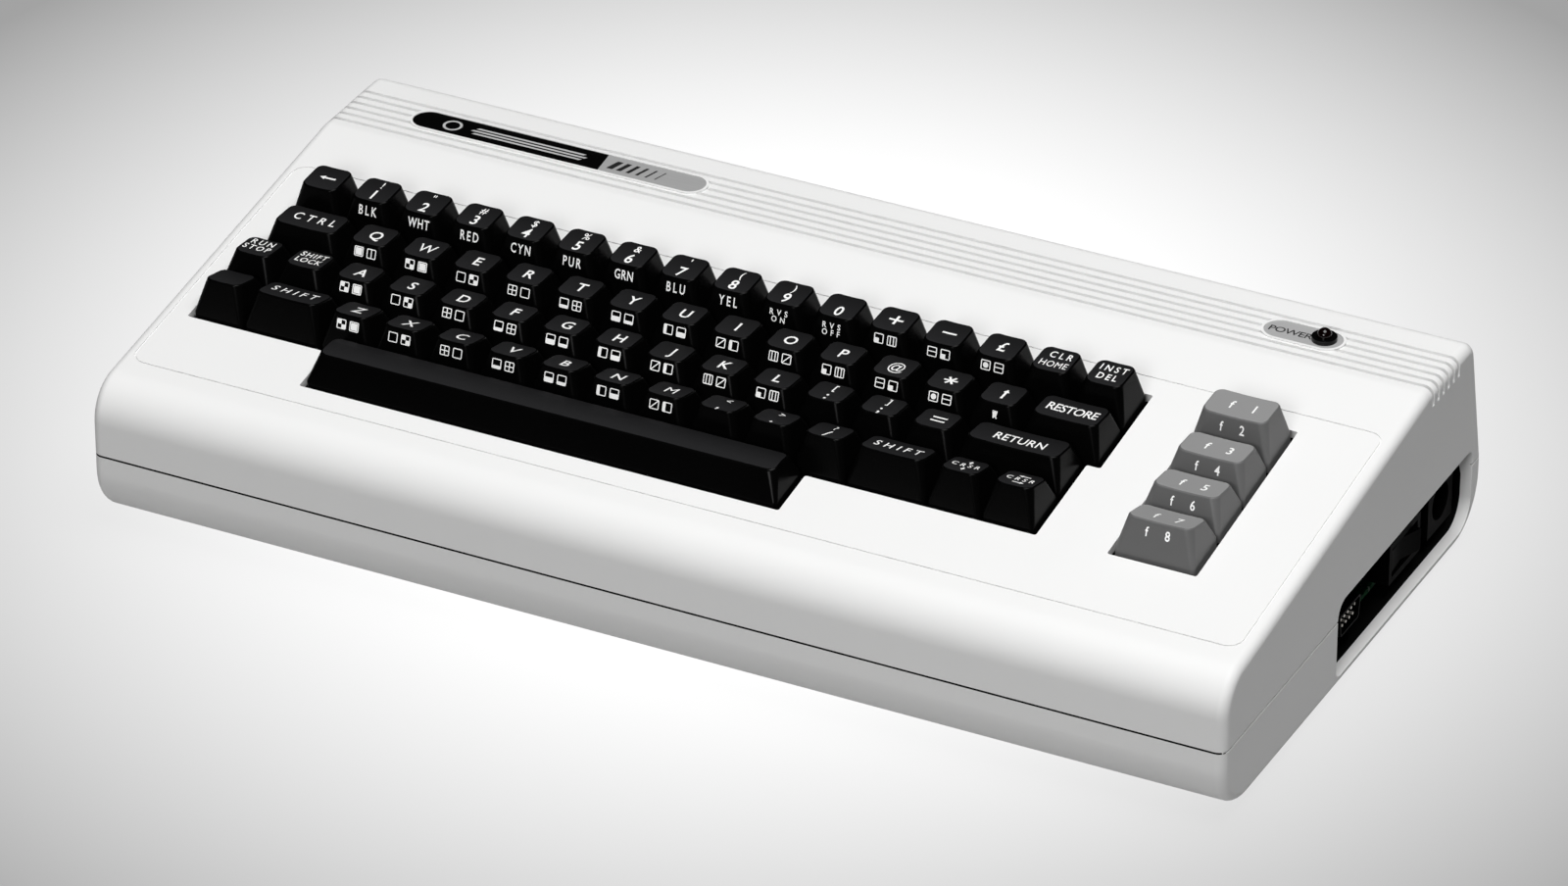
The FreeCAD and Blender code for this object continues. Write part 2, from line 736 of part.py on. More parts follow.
def cap_blank(width, heights, insets, top_n):
    # The cap before its top is shaped: a short skirt, then four leaning sides. The tilted top keeps one width.
    half_u = width / 2
    half_v = row_pitch / 2
    start = key_gap / 2
    back_height, front_height = heights
    back_inset, front_inset, side_inset = insets
    foot = (half_u - start, half_u - start, half_v - start, start - half_v, key_corner_radius)
    low = cell_section(*foot, key_rest_floor)
    middle = cell_section(*foot, key_shoulder_rise)
    high = cell_section(half_u - inset_at(top_n, side_inset, back_height),
                        half_u - inset_at(top_n, side_inset, front_height),
                        half_v - inset_at(top_n, back_inset, back_height),
                        inset_at(top_n, front_inset, front_height) - half_v, key_top_corner_radius, top_n)
    return Part.makeLoft([low, middle, high], True, True)


def cap_hollow(width, heights, insets, roof_n):
    half_u = width / 2
    half_v = row_pitch / 2
    start = key_gap / 2 + key_wall
    back_height, front_height = heights
    back_inset, front_inset, side_inset = insets
    foot = (half_u - start, half_u - start, half_v - start, start - half_v, 0)
    low = cell_section(*foot, key_rest_floor - fit_gap)
    middle = cell_section(*foot, key_shoulder_rise)
    side = half_u - inset_at(roof_n, side_inset, min(heights)) - key_wall
    high = cell_section(side, side,
                        half_v - inset_at(roof_n, back_inset, back_height) - key_wall,
                        inset_at(roof_n, front_inset, front_height) + key_wall - half_v, 0, roof_n)
    return Part.makeLoft([low, middle, high], True, True)


def top_frame(row):
    # The middles of a cap's back and front top edges, and the directions along and out of its top
    half_v = row_pitch / 2
    back = vec(0, half_v - row_back_insets[row], row_back_heights[row])
    front = vec(0, row_front_insets[row] - half_v, row_front_heights[row])
    along = (back - front).normalize()
    return back, front, along, vec(1, 0, 0).cross(along)


def dish_tool(width, row):
    # What is taken off above a tilted top with a shallow trough from back to front
    back, front, along, normal = top_frame(row)
    half_chord = width / 2 - key_side_inset + key_dish_margin
    radius = (half_chord ** 2 + key_dish_depth ** 2) / (2 * key_dish_depth)
    start = front - along * overrun
    length = (back - front).Length + 2 * overrun
    trough = Part.makeCylinder(radius, length, start + normal * (radius - key_dish_depth), along)
    turn = FreeCAD.Rotation(vec(1, 0, 0), math.degrees(math.atan2(along.z, along.y)))
    cover = Part.makeBox(2 * width, length, overrun)
    cover.Placement = FreeCAD.Placement(start - vec(width, 0, 0), turn)
    return cover.fuse(trough)


def crown_tool(width, row):
    # What is kept of the space bar: a tilted top that is crowned from back to front
    back, front, along, normal = top_frame(row)
    half_chord = (back - front).Length / 2
    radius = (half_chord ** 2 + space_crown_rise ** 2) / (2 * space_crown_rise)
    axis = (back + front) / 2 + normal * (space_crown_rise - radius)
    return Part.makeCylinder(radius, width, axis - vec(width / 2, 0, 0), vec(1, 0, 0))


def plunger(u):
    # The post that slides in the frame, with a stem held in the cap's boss
    half = plunger_side / 2
    stem = plunger_stem_side / 2
    post = box(u - half, u + half, -half, half, plunger_foot_n, boss_n)
    return post.fuse(box(u - stem, u + stem, -stem, stem, boss_n, boss_n + plunger_stem_length)).removeSplitter()


def add_bosses(cap, posts, roof_n):
    for u in posts:
        stem = plunger_stem_side / 2
        boss = upright(u, 0, boss_n, roof_n + fit_gap, boss_radius)
        boss = boss.cut(box(u - stem, u + stem, -stem, stem, boss_n, boss_n + plunger_stem_length))
        cap = cap.fuse(boss)
    return cap.removeSplitter()


def key(width, row):
    heights = (row_back_heights[row], row_front_heights[row])
    insets = (row_back_insets[row], row_front_insets[row], key_side_inset)
    roof_n = min(heights) - key_top_thickness
    cap = cap_blank(width, heights, insets, max(heights) + key_dish_depth)
    posts = [0]
    if row < len(rows):
        cap = cap.cut(dish_tool(width, row))
    else:
        cap = cap.common(crown_tool(width, row))
        posts = space_posts()
    cap = cap.cut(cap_hollow(width, heights, insets, roof_n))
    return [add_bosses(cap, posts, roof_n)] + [plunger(u) for u in posts]


def space_posts():
    return [share * space_units * key_pitch for share in space_post_shares]


def key_places():
    # (piece name, width in units, row, u, v) of every key
    places = []
    for row, runs in enumerate(rows):
        left = row_left(row)
        v = keys_back - (row + 0.5) * row_pitch
        for name, widths in runs:
            for units in widths:
                places.append((name, units, row, left + units * key_pitch / 2, v))
                left = left + units * key_pitch
    for row, name in enumerate(function_names):
        v = keys_back - (row + 0.5) * row_pitch
        places.append((name, function_width_units, row, function_left + function_width_units * key_pitch / 2, v))
    space_u = keys_left + (space_start_units + space_units / 2) * key_pitch
    places.append(("key_space", space_units, len(rows), space_u, keys_back - (len(rows) + 0.5) * row_pitch))
    return places


def post_places():
    # Where a plunger passes the frame, in deck coordinates
    places = []
    for name, units, row, u, v in key_places():
        offsets = [0] if row < len(rows) else space_posts()
        places = places + [(u + offset, v) for offset in offsets]
    return places


def key_pieces():
    pieces = {}
    made = {}
    for name, units, row, u, v in key_places():
        if (units, row) not in made:
            made[(units, row)] = key(units * key_pitch, row)
        for solid in made[(units, row)]:
            copy = solid.copy()
            copy.translate(vec(u, v, 0))
            pieces.setdefault(name, []).append(on_deck(copy))
    return pieces


# Keyboard frame, its board and the springs


def keyboard_frame():
    left, right, front, back = frame_bounds()
    plate = box(left, right, front - frame_ear_margin, back + frame_ear_margin, frame_bottom_n, frame_top_n)
    rim = box(left, right, front, back, keyboard_board_n, frame_bottom_n)
    inner = box(left + frame_rim_width, right - frame_rim_width, front + frame_rim_width, back - frame_rim_width,
                keyboard_board_n - fit_gap, frame_bottom_n)
    holes = []
    half = plunger_side / 2 + plunger_slide_gap
    for u, v in post_places():
        holes.append(box(u - half, u + half, v - half, v + half, frame_bottom_n - fit_gap, frame_top_n + fit_gap))
    for u, v in frame_boss_places():
        holes.append(upright(u, v, frame_bottom_n - fit_gap, frame_top_n + fit_gap, screw_radius + screw_hole_slack))
    return [on_deck(plate.fuse(rim.cut(inner)).removeSplitter().cut(Part.makeCompound(holes)))]


def keyboard_board():
    left, right, front, back = frame_bounds()
    return [on_deck(box(left, right, front, back, keyboard_board_n - keyboard_board_thickness, keyboard_board_n))]


def key_springs():
    # Each return spring stands round its plunger, from the frame to the cap's boss
    springs = []
    for u, v in post_places():
        ring = upright(u, v, frame_top_n, boss_n, boss_radius)
        springs.append(on_deck(ring.cut(upright(u, v, frame_top_n, boss_n, boss_radius - spring_wall))))
    return springs


def screw(x, y, z, grip, bite):
    # A pan head screw whose head seats at z and whose shank rises through grip and bite
    shank = upright(x, y, z, z + grip + bite, screw_radius)
    head = upright(x, y, z - screw_head_height, z, screw_head_radius)
    low = z - screw_head_height
    slot = box(x - screw_head_radius, x + screw_head_radius, y - screw_slot_width / 2, y + screw_slot_width / 2,
               low, low + screw_slot_depth)
    return head.fuse(shank).removeSplitter().cut(slot)


def inner_screws():
    # Eight hold the keyboard's frame up to the case, six hold the main board down
    screws = []
    for u, v in frame_boss_places():
        screws.append(on_deck(screw(u, v, frame_bottom_n, frame_thickness, screw_bite - fit_gap)))
    for x, y in [on_board(shares) for shares in standoff_shares]:
        turned = screw(0, 0, 0, board_thickness, screw_bite - fit_gap)
        turned.rotate(vec(0, 0, 0), vec(1, 0, 0), 180)
        turned.translate(vec(x, y, board_top))
        screws.append(turned)
    return screws


def case_screws():
    seat = bottom + case_screw_head_rise
    return [screw(x, case_screw_y, seat, case_screw_length, 0) for x in case_screw_xs]


# Main board and what it carries


def main_board():
    plate = box(board_left, board_right, board_front, board_back, board_z, board_top)
    tabs = []
    for x, width in [(cassette_tab_x, cassette_tab_width), (user_tab_x, user_tab_width)]:
        tabs.append(box(x - width / 2, x + width / 2, board_back - edge_tab_reach, board_back + edge_tab_reach,
                        board_z, board_top))
    holes = [upright(x, y, board_z - fit_gap, board_top + fit_gap, screw_radius + screw_hole_slack)
             for x, y in [on_board(shares) for shares in standoff_shares]]
    return [fuse_all([plate] + tabs).cut(Part.makeCompound(holes))]


def chip(place, size):
    # A packaged circuit that stands on two rows of legs along its longer sides
    x, y = place
    length, width = size
    low = board_top + chip_stand
    body = box(x - length / 2, x + length / 2, y - width / 2, y + width / 2, low, low + chip_body_height)
    legs = []
    long_side = max(length, width)
    count = int(long_side / chip_leg_pitch)
    half_leg = chip_leg_pitch * chip_leg_width_share / 2
    for index in range(count):
        along = (index - (count - 1) / 2) * chip_leg_pitch
        for side in [-1, 1]:
            if length > width:
                outer = y + side * width / 2
                y_range = sorted([outer, outer + side * chip_leg_thickness])
                x_range = [x + along - half_leg, x + along + half_leg]
            else:
                outer = x + side * length / 2
                x_range = sorted([outer, outer + side * chip_leg_thickness])
                y_range = [y + along - half_leg, y + along + half_leg]
            legs.append(box(x_range[0], x_range[1], y_range[0], y_range[1], board_top, low + chip_body_height / 2))
    return body.multiFuse(legs)


def board_block(place, size, height):
    x, y = place
    length, width = size
    return box(x - length / 2, x + length / 2, y - width / 2, y + width / 2, board_top, board_top + height)


def chip_row(shares, y_share, size):
    return [chip(on_board((share, y_share)), size) for share in shares]


def board_chips():
    ram_shares = [ram_chip_first_share + index * ram_chip_pitch_share for index in range(ram_chip_count)]
    chips = chip_row(big_chip_shares, big_chip_y_share, big_chip_size)
    chips = chips + chip_row(rom_chip_shares, rom_chip_y_share, rom_chip_size)
    chips = chips + chip_row(logic_chip_shares, logic_chip_y_share, logic_chip_size)
    chips = chips + chip_row(ram_shares, ram_chip_y_share, ram_chip_size)
    chips.append(board_block(on_board(header_shares), header_size, header_height))
    chips.append(board_block(lamp_header_place(), lamp_header_size, header_height))
    return chips


def lamp_header_place():
    return lamp_x + lamp_header_offset[0], badge_centre_y + lamp_header_offset[1]


def board_capacitors():
    cans = []
    for x, y in [on_board(shares) for shares in big_can_shares]:
        cans.append(upright(x, y, board_top, board_top + big_can_height, big_can_radius))
    for x, y in [on_board((share, small_can_y_share)) for share in small_can_shares]:
        cans.append(upright(x, y, board_top, board_top + small_can_height, small_can_radius))
    cans.append(board_block(on_board(crystal_shares), crystal_size, crystal_height))
    return cans


def heat_sink():
    # A folded sheet of metal with upright fins, which cools the power regulator
    x, y = on_board(heat_sink_shares)
    x0 = x - heat_sink_length / 2
    x1 = x + heat_sink_length / 2
    y0 = y - heat_sink_base / 2
    y1 = y + heat_sink_base / 2
    sheets = [box(x0, x1, y0, y1, board_top, board_top + heat_sink_sheet)]
    for index in range(heat_sink_fin_count):
        start = y0 + index * (heat_sink_base - heat_sink_sheet) / (heat_sink_fin_count - 1)
        sheets.append(box(x0, x1, start, start + heat_sink_sheet, board_top, board_top + heat_sink_height))
    return [fuse_all(sheets)]


# Ports


def din_socket(pins):
    # A round socket in a square block, opening along +X, with its face at x = 0
    half = socket_side / 2
    block = box(-socket_depth, 0, -half, half, 0, socket_side)
    centre = half
    bore = Part.makeCylinder(socket_bore_radius, socket_bore_depth + overrun, vec(-socket_bore_depth, 0, centre),
                             vec(1, 0, 0))
    cuts = [bore]
    for index in range(pins):
        angle = math.pi * index / (pins - 1)
        y = socket_pin_circle * math.cos(angle)
        z = centre - socket_pin_circle * math.sin(angle)
        start = -socket_bore_depth - socket_pin_depth
        cuts.append(Part.makeCylinder(socket_pin_radius, socket_pin_depth + overrun, vec(start, y, z), vec(1, 0, 0)))
    return block.cut(Part.makeCompound(cuts))


def power_socket():
    block = din_socket(power_socket_pins)
    block.translate(vec(port_face_x, power_socket_y, board_top))
    return [block]


def rear_socket(x, pins):
    block = din_socket(pins)
    block.rotate(vec(0, 0, 0), vec(0, 0, 1), 90)
    block.translate(vec(x, rear_face_y, board_top))
    return [block]


def d_outline(length, height, x):
    # The slant-sided outline of the game port's shell, longer along its top
    centre = board_top + game_port_flange_height / 2
    points = [(game_port_y - length / 2 + game_port_slant, centre - height / 2),
              (game_port_y + length / 2 - game_port_slant, centre - height / 2),
              (game_port_y + length / 2, centre + height / 2), (game_port_y - length / 2, centre + height / 2)]
    return rounded_wire(points, [game_port_slant] * 4, lambda p: vec(x, p[0], p[1]))


def game_port():
    flange_face = port_face_x - game_port_shell_depth
    flange_back = flange_face - game_port_flange_thickness
    half = game_port_flange_length / 2
    flange = box(flange_back, flange_face, game_port_y - half, game_port_y + half, board_top,
                 board_top + game_port_flange_height)
    body = box(flange_back - game_port_body_depth, flange_back, game_port_y - game_port_shell_length / 2,
               game_port_y + game_port_shell_length / 2, board_top,
               board_top + game_port_flange_height - game_port_slant)
    shell = Part.Face(d_outline(game_port_shell_length, game_port_shell_height, flange_face))
    shell = shell.extrude(vec(game_port_shell_depth, 0, 0))
    inner_length = game_port_shell_length - 2 * game_port_shell_wall
    inner_height = game_port_shell_height - 2 * game_port_shell_wall
    hollow = Part.Face(d_outline(inner_length, inner_height, flange_face)).extrude(vec(game_port_shell_depth, 0, 0))
    pins = []
    centre = board_top + game_port_flange_height / 2
    for row, count in [(1, game_port_long_row), (-1, game_port_long_row - 1)]:
        for index in range(count):
            y = game_port_y + (index - (count - 1) / 2) * game_port_pin_pitch
            z = centre + row * game_port_row_pitch / 2
            pins.append(Part.makeCylinder(game_port_pin_radius, game_port_pin_length, vec(flange_face, y, z),
                                          vec(1, 0, 0)))
    return [fuse_all([flange, body, shell.cut(hollow)] + pins)]


def cartridge_connector():
    face = half_depth - cartridge_connector_setback
    half = cartridge_connector_length / 2
    block = box(cartridge_centre_x - half, cartridge_centre_x + half, face - cartridge_connector_depth, face,
                board_top, board_top + cartridge_connector_height)
    slot_half = cartridge_slot_length / 2
    middle = board_top + cartridge_slot_rise
    slot = box(cartridge_centre_x - slot_half, cartridge_centre_x + slot_half, face - cartridge_slot_depth,
               face + overrun, middle - cartridge_slot_height / 2, middle + cartridge_slot_height / 2)
    return [block.cut(slot)]


def switch_pivot():
    return vec(port_face_x - rocker_pivot_depth, switch_y, board_top + switch_height / 2)


def switch_rocker():
    # Seen from above with its pivot at zero: two flats that meet in a valley, over a narrower root
    half = rocker_length / 2
    root = rocker_root_length / 2
    points = [(-rocker_root, -root), (rocker_flank, -half), (rocker_peak, -half), (rocker_valley, 0),
              (rocker_peak, half), (rocker_flank, half), (-rocker_root, root)]
    low = -rocker_height / 2
    body = flat_prism(points, [0] * len(points), low, -low)
    pin_half = rocker_height / 2 + rocker_gap + rocker_pin_bite - fit_gap
    rocker = body.fuse(upright(0, 0, -pin_half, pin_half, rocker_pin_radius)).removeSplitter()
    rocker.rotate(vec(0, 0, 0), vec(0, 0, 1), -rocker_throw_deg)
    rocker.translate(switch_pivot())
    return [rocker]


def switch_housing():
    pivot = switch_pivot()
    x1 = port_face_x
    x0 = x1 - switch_depth
    half = switch_length / 2
    block = box(x0, x1, switch_y - half, switch_y + half, board_top, board_top + switch_height)
    room = rocker_length / 2 + rocker_gap
    height = rocker_height / 2 + rocker_gap
    hollow = box(x0 + switch_wall, x1 + overrun, switch_y - room, switch_y + room, pivot.z - height, pivot.z + height)
    pin_half = height + rocker_pin_bite
    pin_hole = upright(pivot.x, pivot.y, pivot.z - pin_half, pivot.z + pin_half, rocker_pin_radius + rocker_pin_gap)
    return [block.cut(hollow).cut(pin_hole)]


# Cables inside the case


def bent_path(points, radius):
    # Straight runs joined by tangent arcs
    edges = []
    start = points[0]
    for index in range(1, len(points) - 1):
        corner = points[index]
        back = (points[index - 1] - corner).normalize()
        ahead = (points[index + 1] - corner).normalize()
        half_angle = back.getAngle(ahead) / 2
        reach = radius / math.tan(half_angle)
        middle = (back + ahead).normalize() * (radius / math.sin(half_angle) - radius)
        edges.append(Part.LineSegment(start, corner + back * reach).toShape())
        edges.append(Part.Arc(corner + back * reach, corner + middle, corner + ahead * reach).toShape())
        start = corner + ahead * reach
    edges.append(Part.LineSegment(start, points[-1]).toShape())
    return Part.Wire(edges)


def keyboard_ribbon():
    # Flat ribbon from under the keyboard's board down to its header
    under = keyboard_board_n - keyboard_board_thickness
    x, y = on_board(header_shares)
    start_v = keys_back - 5 * row_pitch * (1 - ribbon_forward_share)
    head = deck_point(x, start_v, under)
    below = deck_point(x, start_v, under - ribbon_lead)
    foot = vec(x, y, board_top + header_height)
    above = foot + vec(0, 0, ribbon_lead)
    path = bent_path([head, below, above, foot], ribbon_bend_radius)
    lean = vec(0, math.cos(deck_slope), math.sin(deck_slope))
    corners = []
    for side, across in [(-1, -1), (1, -1), (1, 1), (-1, 1)]:
        corners.append(head + vec(side * ribbon_width / 2, 0, 0) + lean * (across * ribbon_thickness / 2))
    section = Part.makePolygon(corners + [corners[0]])
    return [path.makePipeShell([section], True, False)]


def lamp_lead():
    # The lamp's pair of wires, from its base down to its header
    top = vec(lamp_x, badge_centre_y, top_z - badge_recess + badge_thickness - lamp_collar_drop
              - lamp_flange_thickness)
    foot = vec(*lamp_header_place(), board_top + header_height)
    path = bent_path([top, top - vec(0, 0, lamp_lead_drop), foot + vec(0, 0, lamp_lead_drop / 2), foot],
                     lamp_lead_bend_radius)
    section = Part.Wire(Part.makeCircle(lamp_lead_radius, top, vec(0, 0, -1)))
    return [path.makePipeShell([section], True, False)]


def build():
    pieces = {
        "upper_case": [upper_case()],
        "lower_case": [lower_case()],
        "rubber_feet": rubber_feet(),
        "case_screws": case_screws(),
        "keyboard_frame": keyboard_frame(),
        "keyboard_board": keyboard_board(),
        "key_springs": key_springs(),
        "keyboard_ribbon": keyboard_ribbon(),
        "main_board": main_board(),
        "board_chips": board_chips(),
        "board_capacitors": board_capacitors(),
        "heat_sink": heat_sink(),
        "inner_screws": inner_screws(),
        "cartridge_connector": cartridge_connector(),
        "video_socket": rear_socket(video_socket_x, video_socket_pins),
        "serial_socket": rear_socket(serial_socket_x, serial_socket_pins),
        "game_port": game_port(),
        "switch_housing": switch_housing(),
        "switch_rocker": switch_rocker(),
        "power_socket": power_socket(),
        "name_badge": badge(name_badge_centre_x, name_badge_length, False),
        "power_badge": badge(power_badge_centre_x, power_badge_length, True),
        "power_lamp": power_lamp(),
        "lamp_collar": lamp_collar(),
        "lamp_lead": lamp_lead(),
    }
    pieces.update(key_pieces())
    return pieces


os.makedirs("parts", exist_ok=True)
for node, solids in build().items():
    shape = solids[0] if len(solids) == 1 else Part.makeCompound(solids)
    shape.exportStep("parts/" + node + ".step")
    print(node, len(shape.Solids), "solids", "valid" if shape.isValid() else "NOT VALID", round(shape.Volume))
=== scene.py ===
import math

import bmesh
import bpy
from mathutils import Matrix, Vector


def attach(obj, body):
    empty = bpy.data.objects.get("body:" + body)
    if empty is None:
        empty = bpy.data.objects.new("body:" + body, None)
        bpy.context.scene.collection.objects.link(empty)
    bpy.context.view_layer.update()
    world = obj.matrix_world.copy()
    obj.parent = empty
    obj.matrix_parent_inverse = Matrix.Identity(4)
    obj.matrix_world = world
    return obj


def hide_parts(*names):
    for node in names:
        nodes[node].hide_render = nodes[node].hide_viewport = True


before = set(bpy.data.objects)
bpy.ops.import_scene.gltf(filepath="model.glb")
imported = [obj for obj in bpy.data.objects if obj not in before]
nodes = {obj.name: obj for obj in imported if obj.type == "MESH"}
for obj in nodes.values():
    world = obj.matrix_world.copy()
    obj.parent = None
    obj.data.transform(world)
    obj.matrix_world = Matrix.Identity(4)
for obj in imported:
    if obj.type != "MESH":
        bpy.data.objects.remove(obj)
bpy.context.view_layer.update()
mm = 0.001
deck = {"slope": 8.42, "middleHeight": 67.569, "keysLeft": -185.44, "keysBack": 19.797, "pitch": 19.05,
        "rowPitch": 19.0494, "functionLeft": 141.39}
print("frame loaded:", len(nodes), "nodes")

# Shader maths: a Wire is one output of a node, and sums on it add Math nodes


class Wire:
    def __init__(self, tree, socket):
        self.tree = tree
        self.socket = socket

    def sum(self, operation, left, right, clamp=False):
        node = self.tree.nodes.new("ShaderNodeMath")
        node.operation = operation
        node.use_clamp = clamp
        for place, value in enumerate((left, right)):
            if isinstance(value, Wire):
                self.tree.links.new(value.socket, node.inputs[place])
            elif value is not None:
                node.inputs[place].default_value = value
        return Wire(self.tree, node.outputs[0])

    def __add__(self, other):
        return self.sum("ADD", self, other)

    def __radd__(self, other):
        return self.sum("ADD", other, self)

    def __sub__(self, other):
        return self.sum("SUBTRACT", self, other)

    def __rsub__(self, other):
        return self.sum("SUBTRACT", other, self)

    def __mul__(self, other):
        return self.sum("MULTIPLY", self, other)

    def __rmul__(self, other):
        return self.sum("MULTIPLY", other, self)

    def __truediv__(self, other):
        return self.sum("DIVIDE", self, other)

    def __gt__(self, other):
        return self.sum("GREATER_THAN", self, other)

    def __lt__(self, other):
        return self.sum("LESS_THAN", self, other)

    def clamped(self):
        return self.sum("ADD", self, 0.0, clamp=True)

    def repeat(self, length):
        # 0 to 1 across each length, over and over
        return self.sum("FRACT", self / length, None)

    def size(self):
        return self.sum("ABSOLUTE", self, None)


class Finish:
    # one material, whose nodes are added from the shader outwards
    def __init__(self, name, colour, roughness, metallic=0.0, **fixed):
        self.material = bpy.data.materials.new(name)
        self.material.use_nodes = True
        self.tree = self.material.node_tree
        self.shader = self.tree.nodes["Principled BSDF"]
        self.set({"Base Color": (*colour, 1.0), "Roughness": roughness, "Metallic": metallic})
        self.set({key.replace("_", " "): value for key, value in fixed.items()})
        self.material.diffuse_color = (*colour, 1.0)

    def set(self, values):
        for key, value in values.items():
            if isinstance(value, Wire):
                self.tree.links.new(value.socket, self.shader.inputs[key])
            else:
                self.shader.inputs[key].default_value = value

    def node(self, kind, settings, values, out=0):
        node = self.tree.nodes.new(kind)
        for key, value in settings.items():
            setattr(node, key, value)
        for key, value in values.items():
            if isinstance(value, Wire):
                self.tree.links.new(value.socket, node.inputs[key])
            else:
                node.inputs[key].default_value = value
        return Wire(self.tree, node.outputs[out])

    def place(self):
        return self.node("ShaderNodeTexCoord", {}, {}, "Object")

    def axis(self, name):
        return self.node("ShaderNodeSeparateXYZ", {}, {"Vector": self.place()}, name)

    def noise(self, grain, detail=3.0, stretch=(1, 1, 1)):
        # grain is the size of a speck in millimetres
        vector = self.node("ShaderNodeMapping", {}, {"Vector": self.place(), "Scale": stretch})
        return self.node("ShaderNodeTexNoise", {},
                         {"Vector": vector, "Scale": 1 / (grain * mm), "Detail": detail})

    def mix(self, factor, first, second):
        values = {"Factor": factor, "A": first if isinstance(first, Wire) else (*first, 1.0),
                  "B": second if isinstance(second, Wire) else (*second, 1.0)}
        node = self.tree.nodes.new("ShaderNodeMix")
        node.data_type = "RGBA"
        sockets = {"Factor": node.inputs[0], "A": node.inputs[6], "B": node.inputs[7]}
        for key, value in values.items():
            if isinstance(value, Wire):
                self.tree.links.new(value.socket, sockets[key])
            else:
                sockets[key].default_value = value
        return Wire(self.tree, node.outputs[2])

    def bump(self, height, strength, depth):
        normal = self.node("ShaderNodeBump", {},
                           {"Height": height, "Strength": strength, "Distance": depth * mm})
        self.set({"Normal": normal})


plastic = {"patch": 38.0, "detail": 2.0, "patchTone": 0.7, "speckTone": 0.3, "smoother": 0.07,
           "patchGloss": 0.08, "speckGloss": 0.06, "depth": 0.05}
# the key tops' grain, and the painted light that makes each top darker at its back and lighter at its front
keyTopGrainAndPaintedLight = {"grain": 0.38, "strength": 0.5, "dark": 0.65, "light": 2.3, "paintedLightShare": 0.8, "speck": 0.2}


def addGrain(made, roughness, grain, strength):
    # a fine spark-eroded grain and a slight drift of gloss, from a broad and a fine noise
    broad = made.noise(plastic["patch"], plastic["detail"])
    fine = made.noise(grain, plastic["detail"])
    made.set({"Roughness": (roughness - plastic["smoother"] + broad * plastic["patchGloss"]
                            + fine * plastic["speckGloss"])})
    made.bump(fine, strength, plastic["depth"])
    return broad, fine


def moulded(name, colour, roughness, grain, strength, drift=0.03, **fixed):
    # moulded plastic, whose tone drifts slightly too
    made = Finish(name, colour, roughness, **fixed)
    broad, fine = addGrain(made, roughness, grain, strength)
    dark = tuple(c * (1 - drift) for c in colour)
    light = tuple(min(1.0, c * (1 + drift)) for c in colour)
    tone = broad * plastic["patchTone"] + fine * plastic["speckTone"]
    made.set({"Base Color": made.mix(tone, dark, light)})
    return made.material


def keyTopWithPaintedLight(name, colour, roughness, specular):
    # the scooped top of a key is painted lighter towards its front, in every row of keys: painted light,
    # where its scoop would catch more light
    made = Finish(name, colour, roughness, Specular_IOR_Level=specular)
    fine = addGrain(made, roughness, keyTopGrainAndPaintedLight["grain"], keyTopGrainAndPaintedLight["strength"])[1]
    slope = math.radians(deck["slope"])
    start = (deck["keysBack"] + deck["middleHeight"] * math.sin(slope)) * mm
    along = made.axis("Y") * math.cos(slope) + made.axis("Z") * math.sin(slope)
    front = (start - along).repeat(deck["rowPitch"] * mm)
    dark = tuple(c * keyTopGrainAndPaintedLight["dark"] for c in colour)
    light = tuple(c * keyTopGrainAndPaintedLight["light"] for c in colour)
    # painted light: the base colour runs from dark at each top's back to light at its front
    tone = front * keyTopGrainAndPaintedLight["paintedLightShare"] + fine * keyTopGrainAndPaintedLight["speck"]
    made.set({"Base Color": made.mix(tone, dark, light)})
    return made.material


casePlastic = moulded("casePlastic", (0.83, 0.83, 0.825), 0.50, 0.55, 0.10, drift=0.012,
                      Specular_IOR_Level=0.22)
# the inside of the case and the front seam's gap are painted near-black: painted shade
caseInsidePaintedShade = moulded("caseInsidePaintedShade", (0.003, 0.003, 0.003), 0.7, 0.8, 0.3, drift=0.2,
                     Specular_IOR_Level=0.05)
# the black keys are one plastic, but their sides are painted darker and their tops paler: painted shade and
# painted light
keyBlackSidePaintedShade = moulded("keyBlackSidePaintedShade", (0.0012, 0.0012, 0.0012), 0.24, 0.6, 0.04, drift=0.2,
                       Specular_IOR_Level=0.055)
keyBlackTopPaintedLight = keyTopWithPaintedLight("keyBlackTopPaintedLight", (0.0095, 0.0095, 0.01), 0.55, 0.06)
# the grey keys likewise: painted shade on their sides, painted light on their tops
keyGreySidePaintedShade = moulded("keyGreySidePaintedShade", (0.125, 0.125, 0.125), 0.40, 0.5, 0.10, drift=0.03,
                      Specular_IOR_Level=0.3)
keyGreyTopPaintedLight = moulded("keyGreyTopPaintedLight", (0.265, 0.265, 0.265), 0.50, 0.38, 0.2, drift=0.05,
                     Specular_IOR_Level=0.3)
framePlastic = moulded("framePlastic", (0.002, 0.002, 0.002), 0.55, 0.6, 0.2, Specular_IOR_Level=0.05)
portPlastic = moulded("portPlastic", (0.002, 0.002, 0.002), 0.5, 0.5, 0.15, Specular_IOR_Level=0.01)
lampCollarPlastic = moulded("lampCollarPlastic", (0.0015, 0.0015, 0.0015), 0.2, 0.5, 0.05,
                            Specular_IOR_Level=0.3)
legendWhite = moulded("legendWhite", (0.92, 0.92, 0.91), 0.5, 0.3, 0.1, drift=0.02)
